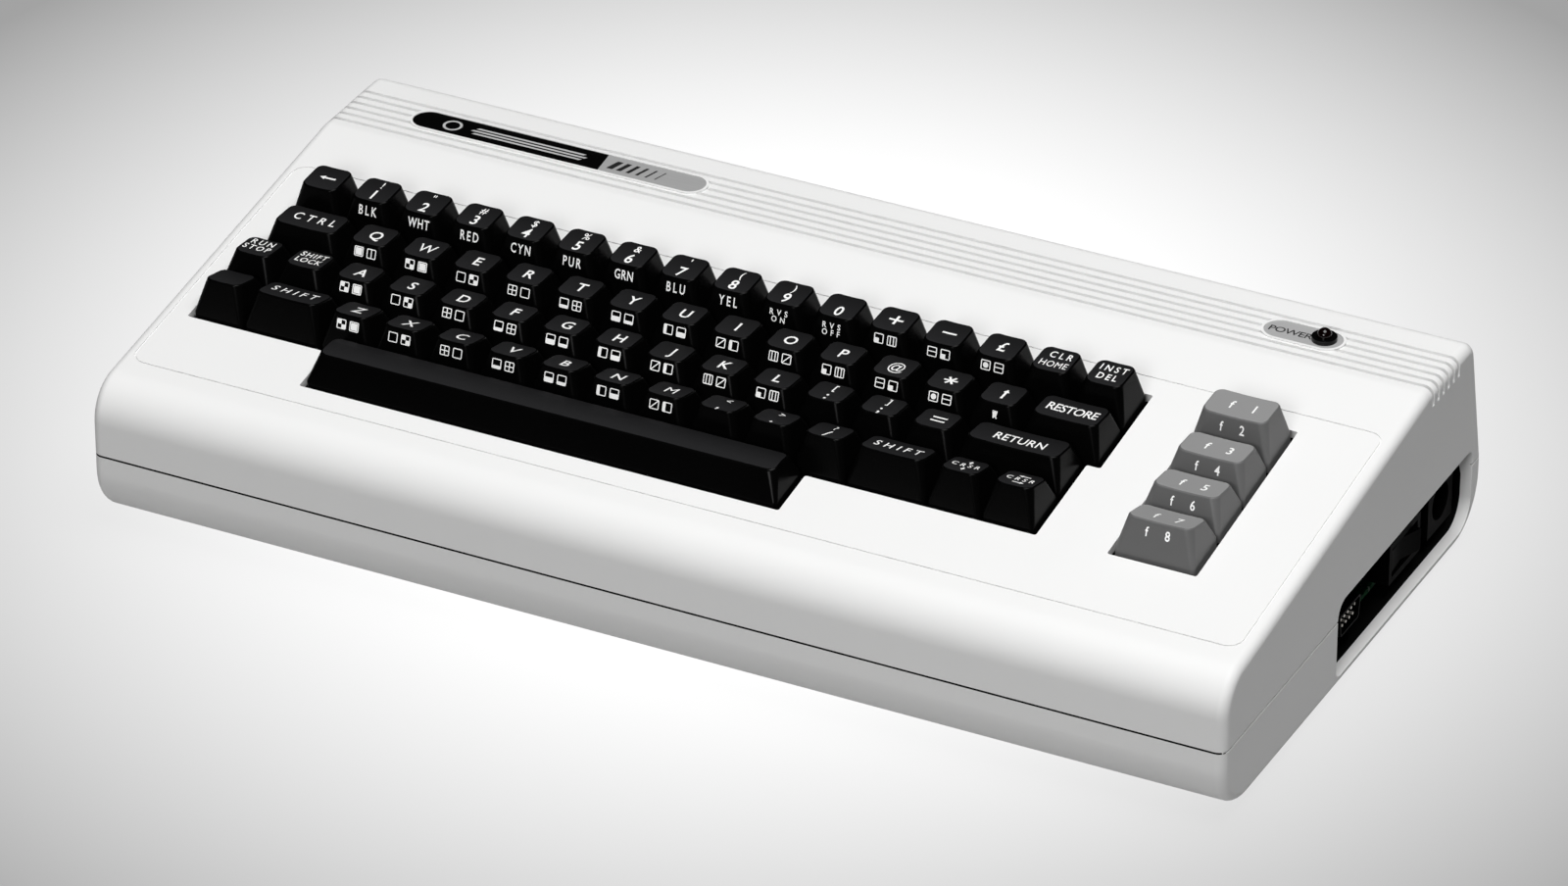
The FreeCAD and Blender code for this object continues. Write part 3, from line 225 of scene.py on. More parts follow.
# the legends on the key fronts glow faintly: painted light that keeps them bright on the shaded fronts
legendFront = moulded("legendFront", (0.97, 0.97, 0.96), 0.5, 0.3, 0.1, drift=0.02,
                      Emission_Color=(1, 1, 1, 1), Emission_Strength=0.16)
legendSilver = moulded("legendSilver", (0.50, 0.50, 0.50), 0.4, 0.3, 0.1, drift=0.03)
legendDark = moulded("legendDark", (0.012, 0.012, 0.012), 0.5, 0.3, 0.1)
footRubber = moulded("footRubber", (0.025, 0.025, 0.026), 0.8, 0.8, 0.5, drift=0.15)
chipPlastic = moulded("chipPlastic", (0.018, 0.018, 0.018), 0.6, 0.3, 0.4, drift=0.15)
ribbonPlastic = moulded("ribbonPlastic", (0.35, 0.35, 0.35), 0.5, 1.2, 0.3)
wireSleeve = moulded("wireSleeve", (0.22, 0.02, 0.02), 0.45, 1.0, 0.1)
capacitorSleeve = moulded("capacitorSleeve", (0.02, 0.035, 0.13), 0.3, 1.5, 0.05)


def brushed(name, colour, roughness, stretch, metallic=1.0):
    # metal with fine lines along one axis
    made = Finish(name, colour, roughness, metallic=metallic)
    lines = made.noise(0.25, 3.0, stretch)
    made.set({"Base Color": made.mix(lines, tuple(c * 0.85 for c in colour), colour),
              "Roughness": roughness - 0.06 + lines * 0.14})
    made.bump(lines, 0.15, 0.02)
    return made.material


badgeSilver = brushed("badgeSilver", (0.56, 0.56, 0.56), 0.38, (0.02, 1, 1), metallic=0.25)
screwSteel = brushed("screwSteel", (0.52, 0.52, 0.53), 0.34, (1, 1, 0.1))
springSteel = brushed("springSteel", (0.45, 0.45, 0.45), 0.35, (1, 1, 0.2))
sheetAluminium = brushed("sheetAluminium", (0.68, 0.68, 0.68), 0.36, (0.03, 1, 1))


board = {"patch": 9.0, "stray": 4.0, "trackPitch": 1.6, "track": 0.36, "alongPatch": 0.5, "crossPatch": 0.47,
         "padPitch": 2.54, "padRowPitch": 7.62, "padAcross": 0.16, "padAlong": 0.055}


def boardFinish():
    # green solder mask over a net of tracks, with rows of tinned pads
    made = Finish("boardLaminate", (0.01, 0.06, 0.025), 0.35, Specular_IOR_Level=0.1)
    x = made.axis("X")
    y = made.axis("Y")
    wander = made.noise(board["patch"], 1.0)
    stray = wander * (board["stray"] * mm)
    pitch = board["trackPitch"] * mm
    tracks = ((x + stray).repeat(pitch) < board["track"]) * (wander > board["alongPatch"])
    cross = ((y + stray).repeat(pitch) < board["track"]) * (wander < board["crossPatch"])
    copper = (tracks + cross).clamped()
    across = (x.repeat(board["padPitch"] * mm) - 0.5).size() < board["padAcross"]
    dot = across * ((y.repeat(board["padRowPitch"] * mm) - 0.5).size() < board["padAlong"])
    green = made.mix(copper * 0.8, (0.006, 0.045, 0.018), (0.018, 0.10, 0.04))
    made.set({"Base Color": made.mix(dot, green, (0.55, 0.55, 0.53)), "Metallic": dot * 0.9,
              "Roughness": 0.42 - dot * 0.12})
    made.bump(copper + dot, 0.4, 0.04)
    return made.material


boardLaminate = boardFinish()

nameBadge = {"splitX": -104.0, "slant": 0.113, "middleY": 69.98, "plateTop": 75.8}


def nameBadgeFinish():
    # glossy black, with a brushed silver end past a slanted line
    made = Finish("nameBadgePlate", (0.0015, 0.0015, 0.0015), 0.28, Specular_IOR_Level=0.1)
    along = made.axis("X") + made.axis("Y") * nameBadge["slant"]
    silver = along > (nameBadge["splitX"] + nameBadge["slant"] * nameBadge["middleY"]) * mm
    lines = made.noise(0.25, 3.0, (0.02, 1, 1))
    tone = made.mix(lines, (0.40, 0.40, 0.40), (0.50, 0.50, 0.50))
    made.set({"Base Color": made.mix(silver, (0.0015, 0.0015, 0.0015), tone), "Metallic": silver * 0.25,
              "Roughness": 0.24 + silver * (0.10 + lines * 0.1)})
    made.bump(lines * silver, 0.15, 0.02)
    return made.material


nameBadgePlate = nameBadgeFinish()


gamePort = {"middleY": 6.0, "middleZ": 17.30, "pitch": 2.77, "rowPitch": 2.84, "pin": 0.62}


def gamePortFinish():
    # black all over, painted shade over its metal shell deep in the side recess, but for its two rows of
    # bright pins
    made = Finish("gamePortPinsAndPaintedShade", (0.002, 0.002, 0.002), 0.35, Specular_IOR_Level=0.01)
    grain = made.noise(0.5, 2.0)
    y = made.axis("Y") - gamePort["middleY"] * mm
    z = made.axis("Z") - gamePort["middleZ"] * mm
    pins = 0.0
    for side, shift in ((1, 0.5), (-1, 0.0)):
        column = (y + gamePort["pitch"] * mm * (shift + 8)).repeat(gamePort["pitch"] * mm)
        across = (column - 0.5) * gamePort["pitch"]
        up = (z - side * gamePort["rowPitch"] / 2 * mm) * (1 / mm)
        near = across * across + up * up < gamePort["pin"] ** 2
        pins = near + pins
    pins = pins * (y.size() < gamePort["pitch"] * 2.4 * mm)
    made.set({"Base Color": made.mix(pins, (0.002, 0.002, 0.002), (0.75, 0.72, 0.66)), "Metallic": pins * 0.6,
              "Roughness": 0.34 - pins * 0.1 + grain * 0.06})
    made.bump(grain, 0.1, 0.02)
    return made.material


gamePortPinsAndPaintedShade = gamePortFinish()


def lampFinish():
    made = Finish("lampPlastic", (0.002, 0.0005, 0.0005), 0.10, Coat_Weight=0.1, Specular_IOR_Level=0.3)
    swirl = made.noise(2.0, 2.0)
    made.set({"Base Color": made.mix(swirl, (0.0015, 0.0005, 0.0005), (0.004, 0.0008, 0.0008)),
              "Roughness": 0.08 + swirl * 0.06})
    return made.material


lampPlastic = lampFinish()
print("finishes made")

# Small tools for pieces


sameFlat = 0.99995  # faces whose normals agree this well are one flat region
looser = 0.25  # how much further a neighbour may turn away and still share a corner's shading
capitalShare = 0.682  # the height of a capital for a font size of 1


def regionsOf(shape):
    # the flat regions of a mesh, as one number for each face, and each region's area
    region = {}
    areas = []
    for first in shape.faces:
        if first in region:
            continue
        region[first] = len(areas)
        total = 0.0
        waiting = [first]
        while waiting:
            face = waiting.pop()
            total += face.calc_area()
            for edge in face.edges:
                for other in edge.link_faces:
                    if other not in region and face.normal.dot(other.normal) > sameFlat:
                        region[other] = len(areas)
                        waiting.append(other)
        areas.append(total)
    return region, areas


def cornerNormals(shape, smooth):
    # a rounded edge shades smoothly into its neighbours, and a flat face stays flat: at each corner
    # the largest flat region within the smooth angle decides
    region, areas = regionsOf(shape)
    limit = math.cos(math.radians(smooth))
    normals = []
    for face in shape.faces:
        for loop in face.loops:
            fan = {face}
            waiting = [face]
            while waiting:
                here = waiting.pop()
                for edge in here.edges:
                    if loop.vert not in edge.verts or not edge.smooth:
                        continue
                    for other in edge.link_faces:
                        if other not in fan and here.normal.dot(other.normal) > limit:
                            fan.add(other)
                            waiting.append(other)
            parts = {}
            for member in fan:
                if face.normal.dot(member.normal) > limit - looser:
                    parts[region[member]] = member
            total = Vector((0, 0, 0))
            for number, member in parts.items():
                total += member.normal * areas[number] ** 2
            normals.append(total.normalized() if total.length > 0 else face.normal.copy())
    return normals


def finishPiece(shape, name, materials, body, replaced=(), smooth=40):
    # turns a bmesh into an object that rides on a body
    shape.normal_update()
    shape.faces.ensure_lookup_table()
    for face in shape.faces:
        face.smooth = True
    normals = cornerNormals(shape, smooth)
    mesh = bpy.data.meshes.new(name)
    shape.to_mesh(mesh)
    shape.free()
    mesh.normals_split_custom_set(normals)
    for material in materials:
        mesh.materials.append(material)
    piece = bpy.data.objects.new(name, mesh)
    bpy.context.scene.collection.objects.link(piece)
    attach(piece, body)
    if replaced:
        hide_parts(*replaced)
    return piece


def mergedCopy(node):
    shape = bmesh.new()
    shape.from_mesh(nodes[node].data)
    bmesh.ops.remove_doubles(shape, verts=shape.verts, dist=0.002 * mm)
    shape.normal_update()
    return shape


def flatten(shape):
    # the flat letters and marks all face up
    shape.normal_update()
    for face in shape.faces:
        if face.normal.z < 0:
            face.normal_flip()


def textShape(words, height, span=None, squeeze=0.8, weight=0.07):
    # flat lettering as a bmesh, its capitals centred on zero; height and span are in millimetres.
    # Letters with narrow gaps are not thickened
    def lettering(spacing):
        curve = bpy.data.curves.new("letters", "FONT")
        curve.body = words
        curve.size = height / capitalShare
        curve.offset = 0 if set(words) & set("Mπ@") else weight
        curve.space_character = spacing
        curve.align_x = "CENTER"
        curve.align_y = "TOP_BASELINE"
        curve.resolution_u = 3
        holder = bpy.data.objects.new("letters", curve)
        mesh = bpy.data.meshes.new_from_object(holder)
        shape = bmesh.new()
        shape.from_mesh(mesh)
        bpy.data.objects.remove(holder)
        bpy.data.curves.remove(curve)
        bpy.data.meshes.remove(mesh)
        bmesh.ops.scale(shape, vec=(squeeze, 1, 1), verts=shape.verts)
        return shape

    def reach(shape):
        return [limit(v.co.x for v in shape.verts) for limit in (min, max)]

    shape = lettering(1.0)
    left, right = reach(shape)
    if span:
        wider = lettering(2.0)
        wideLeft, wideRight = reach(wider)
        wider.free()
        shape.free()
        shape = lettering(1.0 + (span - (right - left)) / ((wideRight - wideLeft) - (right - left)))
        left, right = reach(shape)
    bmesh.ops.remove_doubles(shape, verts=shape.verts, dist=0.001)
    bmesh.ops.translate(shape, vec=(-(left + right) / 2, -height / 2, 0), verts=shape.verts)
    flatten(shape)
    return shape


def strokeShape(strokes, heads=()):
    # straight strokes as (x, y, length, thickness, turn), and arrow heads as (x, y, size, turn)
    shape = bmesh.new()
    for x, y, length, thickness, turn in strokes:
        verts = bmesh.ops.create_grid(shape, x_segments=8, y_segments=1, size=0.5)["verts"]
        bmesh.ops.scale(shape, vec=(length, thickness, 1), verts=verts)
        bmesh.ops.rotate(shape, matrix=Matrix.Rotation(math.radians(turn), 3, "Z"), verts=verts)
        bmesh.ops.translate(shape, vec=(x, y, 0), verts=verts)
    for x, y, size, turn in heads:
        verts = bmesh.ops.create_circle(shape, cap_ends=True, segments=3, radius=size)["verts"]
        bmesh.ops.rotate(shape, matrix=Matrix.Rotation(math.radians(turn), 3, "Z"), verts=verts)
        bmesh.ops.translate(shape, vec=(x, y, 0), verts=verts)
    flatten(shape)
    return shape


def addShape(target, source, matrix, lift=None):
    # puts a copy of one bmesh into another; lift shapes its height first
    if lift:
        for vertex in source.verts:
            vertex.co.z += lift(vertex.co.x, vertex.co.y)
    bmesh.ops.transform(source, matrix=matrix, verts=source.verts)
    mesh = bpy.data.meshes.new("part")
    source.to_mesh(mesh)
    target.from_mesh(mesh)
    bpy.data.meshes.remove(mesh)
    source.free()


# The keyboard's own directions: u to the right, v up the slope, n out of the deck

toDeck = (Matrix.Scale(mm, 4) @ Matrix.Translation((0, 0, deck["middleHeight"]))
          @ Matrix.Rotation(math.radians(deck["slope"]), 4, "X"))

cap = {"gap": 0.4, "skirt": -3.0, "shoulder": 1.0, "sideInset": 3.1, "baseCorner": 1.6, "topCorner": 3.0,
       "edge": 0.65, "dish": 0.35, "dishMargin": 0.75, "spare": 1.1, "plunger": 5.4, "plungerFoot": -10.9,
       "outerPost": 0.42, "strips": 10, "satinAndPaintedLightLimit": 0.965}
rowShapes = [
    {"back": 11.9, "front": 13.0, "backInset": 0.6, "frontInset": 4.95},
    {"back": 8.8, "front": 11.0, "backInset": 1.05, "frontInset": 5.1},
    {"back": 7.8, "front": 10.7, "backInset": 1.2, "frontInset": 5.6},
    {"back": 7.8, "front": 12.5, "backInset": 1.4, "frontInset": 5.5},
    {"back": 7.6, "front": 9.4, "backInset": 1.4, "frontInset": 5.6},
]
crownRise = 0.7


class KeyForm:
    # the sizes of one cap: its top's frame and the height of its top's surface
    def __init__(self, width, row):
        self.width = width
        self.row = row
        self.half = deck["rowPitch"] / 2
        shape = rowShapes[row]
        self.back = Vector((0, self.half - shape["backInset"], shape["back"]))
        self.front = Vector((0, shape["frontInset"] - self.half, shape["front"]))
        self.along = (self.back - self.front).normalized()
        self.out = Vector((1, 0, 0)).cross(self.along)
        self.middle = (self.back + self.front) / 2
        self.length = (self.back - self.front).length
        chord = width / 2 - cap["sideInset"] + cap["dishMargin"]
        self.dishRadius = (chord ** 2 + cap["dish"] ** 2) / (2 * cap["dish"])
        self.crownRadius = ((self.length / 2) ** 2 + crownRise ** 2) / (2 * crownRise)

    def lift(self, x, y):
        # how far the top's surface stands above the plane through its back and front edges
        if self.row < 4:
            reach = min(abs(x), self.dishRadius * 0.9)
            return self.dishRadius - cap["dish"] - math.sqrt(self.dishRadius ** 2 - reach ** 2)
        reach = min(abs(y), self.crownRadius * 0.9)
        return crownRise - self.crownRadius + math.sqrt(self.crownRadius ** 2 - reach ** 2)

    def topFrame(self):
        # local x across the key, y up its top, z out of it
        return Matrix(((1, 0, 0, 0), (0, self.along.y, self.out.y, self.middle.y),
                       (0, self.along.z, self.out.z, self.middle.z), (0, 0, 0, 1)))

    def head(self, foot):
        # a point past the top on the line that the sides follow up from a point of the foot
        halves = [self.width / 2 - cap["gap"], self.half - cap["gap"]]
        tops = [self.width / 2 - cap["sideInset"], (self.back.y - self.front.y) / 2]
        reached = []
        for value, half, top in zip(foot, halves, tops):
            flat = half - cap["baseCorner"]
            beyond = max(abs(value) - flat, 0)
            grown = min(abs(value), flat) / flat * (top - cap["topCorner"])
            reached.append(math.copysign(grown + beyond * cap["topCorner"] / cap["baseCorner"], value))
        middle = self.middle + (self.back - self.front) / 2 * (reached[1] / tops[1])
        return foot.lerp(Vector((reached[0], middle.y, middle.z)), cap["spare"])

    def frontFrame(self, drop):
        # local x across the key, y up its front face, z out of it; drop is how far below the top's edge
        foot = Vector((0, cap["gap"] - self.half, cap["shoulder"]))
        up = (self.front - foot).normalized()
        out = Vector((1, 0, 0)).cross(up)
        place = self.front - up * drop
        return Matrix(((1, 0, 0, 0), (0, up.y, out.y, place.y), (0, up.z, out.z, place.z), (0, 0, 0, 1)))


def capShape(form, posts):
    # a rounded foot, drawn up to leaning sides, with a dished or crowned top and rounded edges
    shape = bmesh.new()
    rows = 8 if form.row == 4 else 1
    bmesh.ops.create_grid(shape, x_segments=cap["strips"], y_segments=rows, size=0.5)
    halfWidth = form.width / 2 - cap["gap"]
    halfDepth = form.half - cap["gap"]
    bmesh.ops.scale(shape, vec=(2 * halfWidth, 2 * halfDepth, 1), verts=shape.verts)
    corners = [v for v in shape.verts if len(v.link_faces) == 1]
    bmesh.ops.bevel(shape, geom=corners, offset=cap["baseCorner"], affect="VERTICES", segments=7, profile=0.5,
                    material=-1)
    bmesh.ops.translate(shape, vec=(0, 0, cap["skirt"]), verts=shape.verts)
    upper = shape.faces[:]
    for level in (cap["shoulder"], cap["shoulder"] + 1):
        lower = upper
        made = bmesh.ops.extrude_face_region(shape, geom=upper)
        upper = [g for g in made["geom"] if isinstance(g, bmesh.types.BMFace)]
        moved = [g for g in made["geom"] if isinstance(g, bmesh.types.BMVert)]
        for vertex in moved:
            vertex.co.z = level
        if level > cap["shoulder"]:
            bmesh.ops.delete(shape, geom=lower, context="FACES_ONLY")
    toTop = form.topFrame().inverted()
    for vertex in moved:
        foot = Vector((vertex.co.x, vertex.co.y, cap["shoulder"]))
        head = form.head(foot)
        share = 1.0
        for turn in range(8):
            place = foot.lerp(head, share)
            local = toTop @ place
            share -= (local.z - form.lift(local.x, local.y)) / (head.z - cap["shoulder"])
        vertex.co = foot.lerp(head, share)
    inside = set(upper)
    rim = [e for e in shape.edges if len([f for f in e.link_faces if f in inside]) == 1]
    for face in upper:
        face.material_index = 1
    shape.normal_update()
    bmesh.ops.bevel(shape, geom=rim, offset=cap["edge"], affect="EDGES", segments=4, profile=0.5, material=-1,
                    clamp_overlap=False)
    shape.normal_update()
    # faces looking out of the top get the top's finish: its satin grain is real, its paler colour is painted
    # light
    for face in shape.faces:
        if face.material_index == 1 and face.normal.dot(form.out) < cap["satinAndPaintedLightLimit"]:
            face.material_index = 0
    for u in posts:
        post = bmesh.ops.create_cube(shape, size=1)["verts"]
        height = cap["skirt"] - cap["plungerFoot"]
        bmesh.ops.scale(shape, vec=(cap["plunger"], cap["plunger"], height), verts=post)
        bmesh.ops.translate(shape, vec=(u, 0, cap["plungerFoot"] + height / 2), verts=post)
    bmesh.ops.recalc_face_normals(shape, faces=shape.faces)
    return shape


boxBars = {"half": [(0.22, 0, 0.44, 0.86)], "low": [(0, -0.22, 0.86, 0.44)],
           "quarter": [(0.22, 0.22, 0.42, 0.42)], "corner": [(-0.2, -0.2, 0.44, 0.44)],
           "upright": [(0, 0, 0.1, 0.86)], "level": [(0, 0.02, 0.86, 0.1)], "side": [(-0.3, 0, 0.26, 0.86)],
           "twin": [(-0.22, 0.22, 0.42, 0.42), (0.22, -0.22, 0.42, 0.42)],
           "cross": [(0, 0, 0.1, 0.86), (0, 0, 0.86, 0.1)], "foot": [(0, -0.3, 0.86, 0.26)],
           "bars": [(-0.17, 0, 0.1, 0.86), (0.17, 0, 0.1, 0.86)], "full": [(0, 0, 0.7, 0.7)], "empty": []}


def boxMark(kind):
    # a small printed square with a plain figure in it, 1 unit wide
    shape = bmesh.new()
    bmesh.ops.create_grid(shape, x_segments=1, y_segments=1, size=0.5)
    bmesh.ops.bevel(shape, geom=shape.verts[:], offset=0.12, affect="VERTICES", segments=2, profile=0.5,
                    material=-1)
    bmesh.ops.inset_region(shape, faces=shape.faces[:], thickness=0.1, use_boundary=True,
                           use_even_offset=True)
    inner = [f for f in shape.faces if all(max(abs(v.co.x), abs(v.co.y)) < 0.42 for v in f.verts)]
    bmesh.ops.delete(shape, geom=inner, context="FACES_ONLY")
    for x, y, wide, high in boxBars.get(kind, []):
        verts = bmesh.ops.create_grid(shape, x_segments=1, y_segments=1, size=0.5)["verts"]
        bmesh.ops.scale(shape, vec=(wide, high, 1), verts=verts)
        bmesh.ops.translate(shape, vec=(x, y, 0), verts=verts)
    if kind == "dot":
        bmesh.ops.create_circle(shape, cap_ends=True, segments=16, radius=0.28)
    if kind == "slope":
        verts = bmesh.ops.create_grid(shape, x_segments=1, y_segments=1, size=0.5)["verts"]
        bmesh.ops.scale(shape, vec=(1.12, 0.1, 1), verts=verts)
        bmesh.ops.rotate(shape, matrix=Matrix.Rotation(math.radians(45), 3, "Z"), verts=verts)
    flatten(shape)
    return shape


# Legends, with heights and places in millimetres: top stands on the top of the cap and shift above
# it, words are whole words there, face stands on the cap's front, in one line or two small ones, and
# marks are the two printed squares there. A weight thickens the letters
plain = {"letter": 5.0, "letterPlace": (0.3, -0.1), "number": 5.0, "numberPlace": (0.1, -2.8),
         "topWeight": 0.11, "slightWeight": 0.03, "raise": 0.03,
         "shift": 3.5, "shiftPlace": (0.35, 3.2), "shiftWeight": 0.04, "wordSqueeze": 0.72,
         "face": 3.2, "faceSpan": 6.7, "faceSqueeze": 0.66, "faceWeight": 0.07, "facePlace": 0.4,
         "faceDrop": 3.8, "smallFace": 1.9, "smallSpan": 6.4, "smallSqueeze": 0.9, "smallWeight": 0.04,
         "smallPlace": -0.3, "smallDrop": 3.4, "smallStep": 2.35,
         "mark": 3.4, "markApart": 4.65, "markDrop": (3.5, 3.3, 3.15, 3.85)}
wordWidths = {"WHT": 1.19, "CYN": 1.08, "ON": 0.75}  # words wider or narrower than the others
pair = {"top": 4.0, "topWeight": 0.10, "topPlaces": (-3.1, 4.7), "under": 3.1, "underWeight": 0.06,
        "underPlaces": (-3.5, 3.6), "drop": 4.1}  # the f and its number, on a function key
markKinds = ["half", "dot", "corner", "slope", "low", "cross", "twin", "upright", "quarter", "level", "bars",
             "side", "foot", "empty", "full"]
star = [(0, 0, 4.8, 0.8, turn) for turn in (0, 60, 120)]


def letters(text):
    return [{"top": letter, "marks": True} for letter in text]


def lettering(text, span, height, y, x=0.3):
    return {"text": text, "span": span, "height": height, "place": (x, y)}


keyPlan = [
    # (node, row, first key's left edge in units, widths, legends)
    ("keys_arrow_to_2", 0, 0, [1, 1, 1],
     [{"strokes": [(0.6, 0, 4.6, 0.85, 0)], "heads": [(-1.7, 0, 1.25, 90)]},
      {"top": "1", "shift": "!", "face": ["BLK"]}, {"top": "2", "shift": "\"", "face": ["WHT"]}]),
    ("keys_3_to_5", 0, 3, [1, 1, 1], [{"top": "3", "shift": "#", "face": ["RED"]},
                                      {"top": "4", "shift": "$", "face": ["CYN"]},
                                      {"top": "5", "shift": "%", "face": ["PUR"]}]),
    ("keys_6_to_8", 0, 6, [1, 1, 1], [{"top": "6", "shift": "&", "face": ["GRN"]},
                                      {"top": "7", "shift": "'", "face": ["BLU"]},
                                      {"top": "8", "shift": "(", "face": ["YEL"]}]),
    ("keys_9_to_plus", 0, 9, [1, 1, 1],
     [{"top": "9", "shift": ")", "face": ["RVS", "ON"]}, {"top": "0", "face": ["RVS", "OFF"], "low": True},
      {"strokes": [(0, 0, 5.0, 0.85, 0), (0, 0, 5.0, 0.85, 90)], "marks": True}]),
    ("keys_minus_pound", 0, 12, [1, 1], [{"strokes": [(0, 0, 5.0, 0.85, 0)], "marks": True},
                                         {"top": "£", "marks": True}]),
    ("key_home", 0, 14, [1], [{"words": [lettering("CLR", 8.0, 3.3, 2.6, 0.8),
                                         lettering("HOME", 9.6, 3.2, -2.7)]}]),
    ("key_delete", 0, 15, [1], [{"words": [lettering("INST", 9.4, 3.2, 2.6),
                                           lettering("DEL", 7.0, 3.2, -2.3, 0)]}]),
    ("key_control", 1, 0, [1.5], [{"words": [lettering("CTRL", 15.4, 4.3, 0.3, 0.9)]}]),
    ("keys_q_to_e", 1, 1.5, [1, 1, 1], letters("QWE")),
    ("keys_r_to_y", 1, 4.5, [1, 1, 1], letters("RTY")),
    ("keys_u_to_o", 1, 7.5, [1, 1, 1], letters("UIO")),
    ("keys_p_to_star", 1, 10.5, [1, 1, 1], letters("P@") + [{"strokes": star, "marks": True}]),
    ("key_up_arrow", 1, 13.5, [1], [{"strokes": [(0, -0.7, 4.6, 0.85, 90)], "heads": [(0, 1.7, 1.25, 0)],
                                     "face": ["π"]}]),
    ("key_restore", 1, 14.5, [1.5], [{"words": [lettering("RESTORE", 17.6, 4.4, 0, 0.5)]}]),
    ("key_stop", 2, -0.25, [1], [{"words": [lettering("RUN", 8.3, 3.3, 3.0, -0.3),
                                            lettering("STOP", 9.8, 3.2, -1.3, -0.4)]}]),
    ("key_shift_lock", 2, 0.75, [1], [{"words": [lettering("SHIFT", 9.6, 3.1, 2.9, 0),
                                                 lettering("LOCK", 9.4, 3.1, -1.3, 0)]}]),
    ("keys_a_to_d", 2, 1.75, [1, 1, 1], letters("ASD")),
    ("keys_f_to_h", 2, 4.75, [1, 1, 1], letters("FGH")),
    ("keys_j_to_l", 2, 7.75, [1, 1, 1], letters("JKL")),
    ("keys_colon_to_equals", 2, 10.75, [1, 1, 1],
     [{"top": ":", "shift": "["}, {"top": ";", "shift": "]"},
      {"strokes": [(0, 1.25, 5.0, 0.8, 0), (0, -1.25, 5.0, 0.8, 0)]}]),
    ("key_return", 2, 13.75, [2], [{"words": [lettering("RETURN", 17.6, 4.4, -0.6, 0.6)]}]),
    ("key_mark", 3, -0.25, [1], [{}]),
    ("key_left_shift", 3, 0.75, [1.5], [{"words": [lettering("SHIFT", 16.4, 4.2, 0.9, -0.2)]}]),
    ("keys_z_to_c", 3, 2.25, [1, 1, 1], letters("ZXC")),
    ("keys_v_to_n", 3, 5.25, [1, 1, 1], letters("VBN")),
    ("keys_m_comma", 3, 8.25, [1, 1], [{"top": "M", "marks": True}, {"top": ",", "shift": "<"}]),
    ("keys_period_slash", 3, 10.25, [1, 1], [{"top": ".", "shift": ">"}, {"top": "/", "shift": "?"}]),
    ("key_right_shift", 3, 12.25, [1.5], [{"words": [lettering("SHIFT", 16.4, 4.2, 0.3, 0)]}]),
    ("key_cursor_down", 3, 13.75, [1],
     [{"words": [lettering("CRSR", 9.6, 2.7, 0.2, 0)],
       "strokes": [(0, 3.0, 1.4, 0.6, 90), (0, -2.6, 1.4, 0.6, 90)],
       "heads": [(0, 3.9, 0.95, 0), (0, -3.5, 0.95, 180)]}]),
    ("key_cursor_right", 3, 14.75, [1],
     [{"words": [lettering("CRSR", 9.6, 2.7, 0.2, 0)],
       "strokes": [(0.5, 3.3, 2.8, 0.6, 0), (-0.5, -2.9, 2.8, 0.6, 0)],
       "heads": [(-1.2, 3.3, 0.95, 90), (1.2, -2.9, 0.95, -90)]}]),
    ("key_f1", 0, None, [1.5], [{"pair": "f1", "under": "f2", "y": -0.3}]),
    ("key_f3", 1, None, [1.5], [{"pair": "f3", "under": "f4", "y": -0.3}]),
    ("key_f5", 2, None, [1.5], [{"pair": "f5", "under": "f6", "y": -0.6}]),
    ("key_f7", 3, None, [1.5], [{"pair": "f7", "under": "f8", "y": -0.9}]),
    ("key_space", 4, 2.5, [9], [{}]),
]


def onTop(prints, form, shape, x=0.0, y=0.0):
    bmesh.ops.translate(shape, vec=(x, y, plain["raise"]), verts=shape.verts)
    addShape(prints, shape, toDeck @ Matrix.Translation(form.place) @ form.topFrame(), form.lift)


def onFace(prints, form, shape, x, drop):
    bmesh.ops.translate(shape, vec=(x, 0, plain["raise"]), verts=shape.verts)
    for face in shape.faces:
        face.material_index = 1
    addShape(prints, shape, toDeck @ Matrix.Translation(form.place) @ form.frontFrame(drop))


def addTopLegends(prints, form, legend):
    for word in legend.get("words", []):
        shape = textShape(word["text"], word["height"], word["span"], plain["wordSqueeze"])
        onTop(prints, form, shape, *word["place"])
    if "strokes" in legend:
        shape = strokeShape(legend["strokes"], legend.get("heads", ()))
        onTop(prints, form, shape, *plain["letterPlace"])
    if "pair" in legend:
        for letter, x in zip(legend["pair"], pair["topPlaces"]):
            onTop(prints, form, textShape(letter, pair["top"], weight=pair["topWeight"]), x, legend["y"])
        for letter, x in zip(legend["under"], pair["underPlaces"]):
            shape = textShape(letter, pair["under"], weight=pair["underWeight"])
            onFace(prints, form, shape, x, pair["drop"])
    if "shift" in legend:
        shape = textShape(legend["shift"], plain["shift"], weight=plain["shiftWeight"])
        onTop(prints, form, shape, *plain["shiftPlace"])
    if "top" in legend:
        low = "shift" in legend or "low" in legend
        size, place = ("number", "numberPlace") if low else ("letter", "letterPlace")
        weight = plain["slightWeight" if legend["top"] in "MW" else "topWeight"]
        onTop(prints, form, textShape(legend["top"], plain[size], weight=weight), *plain[place])


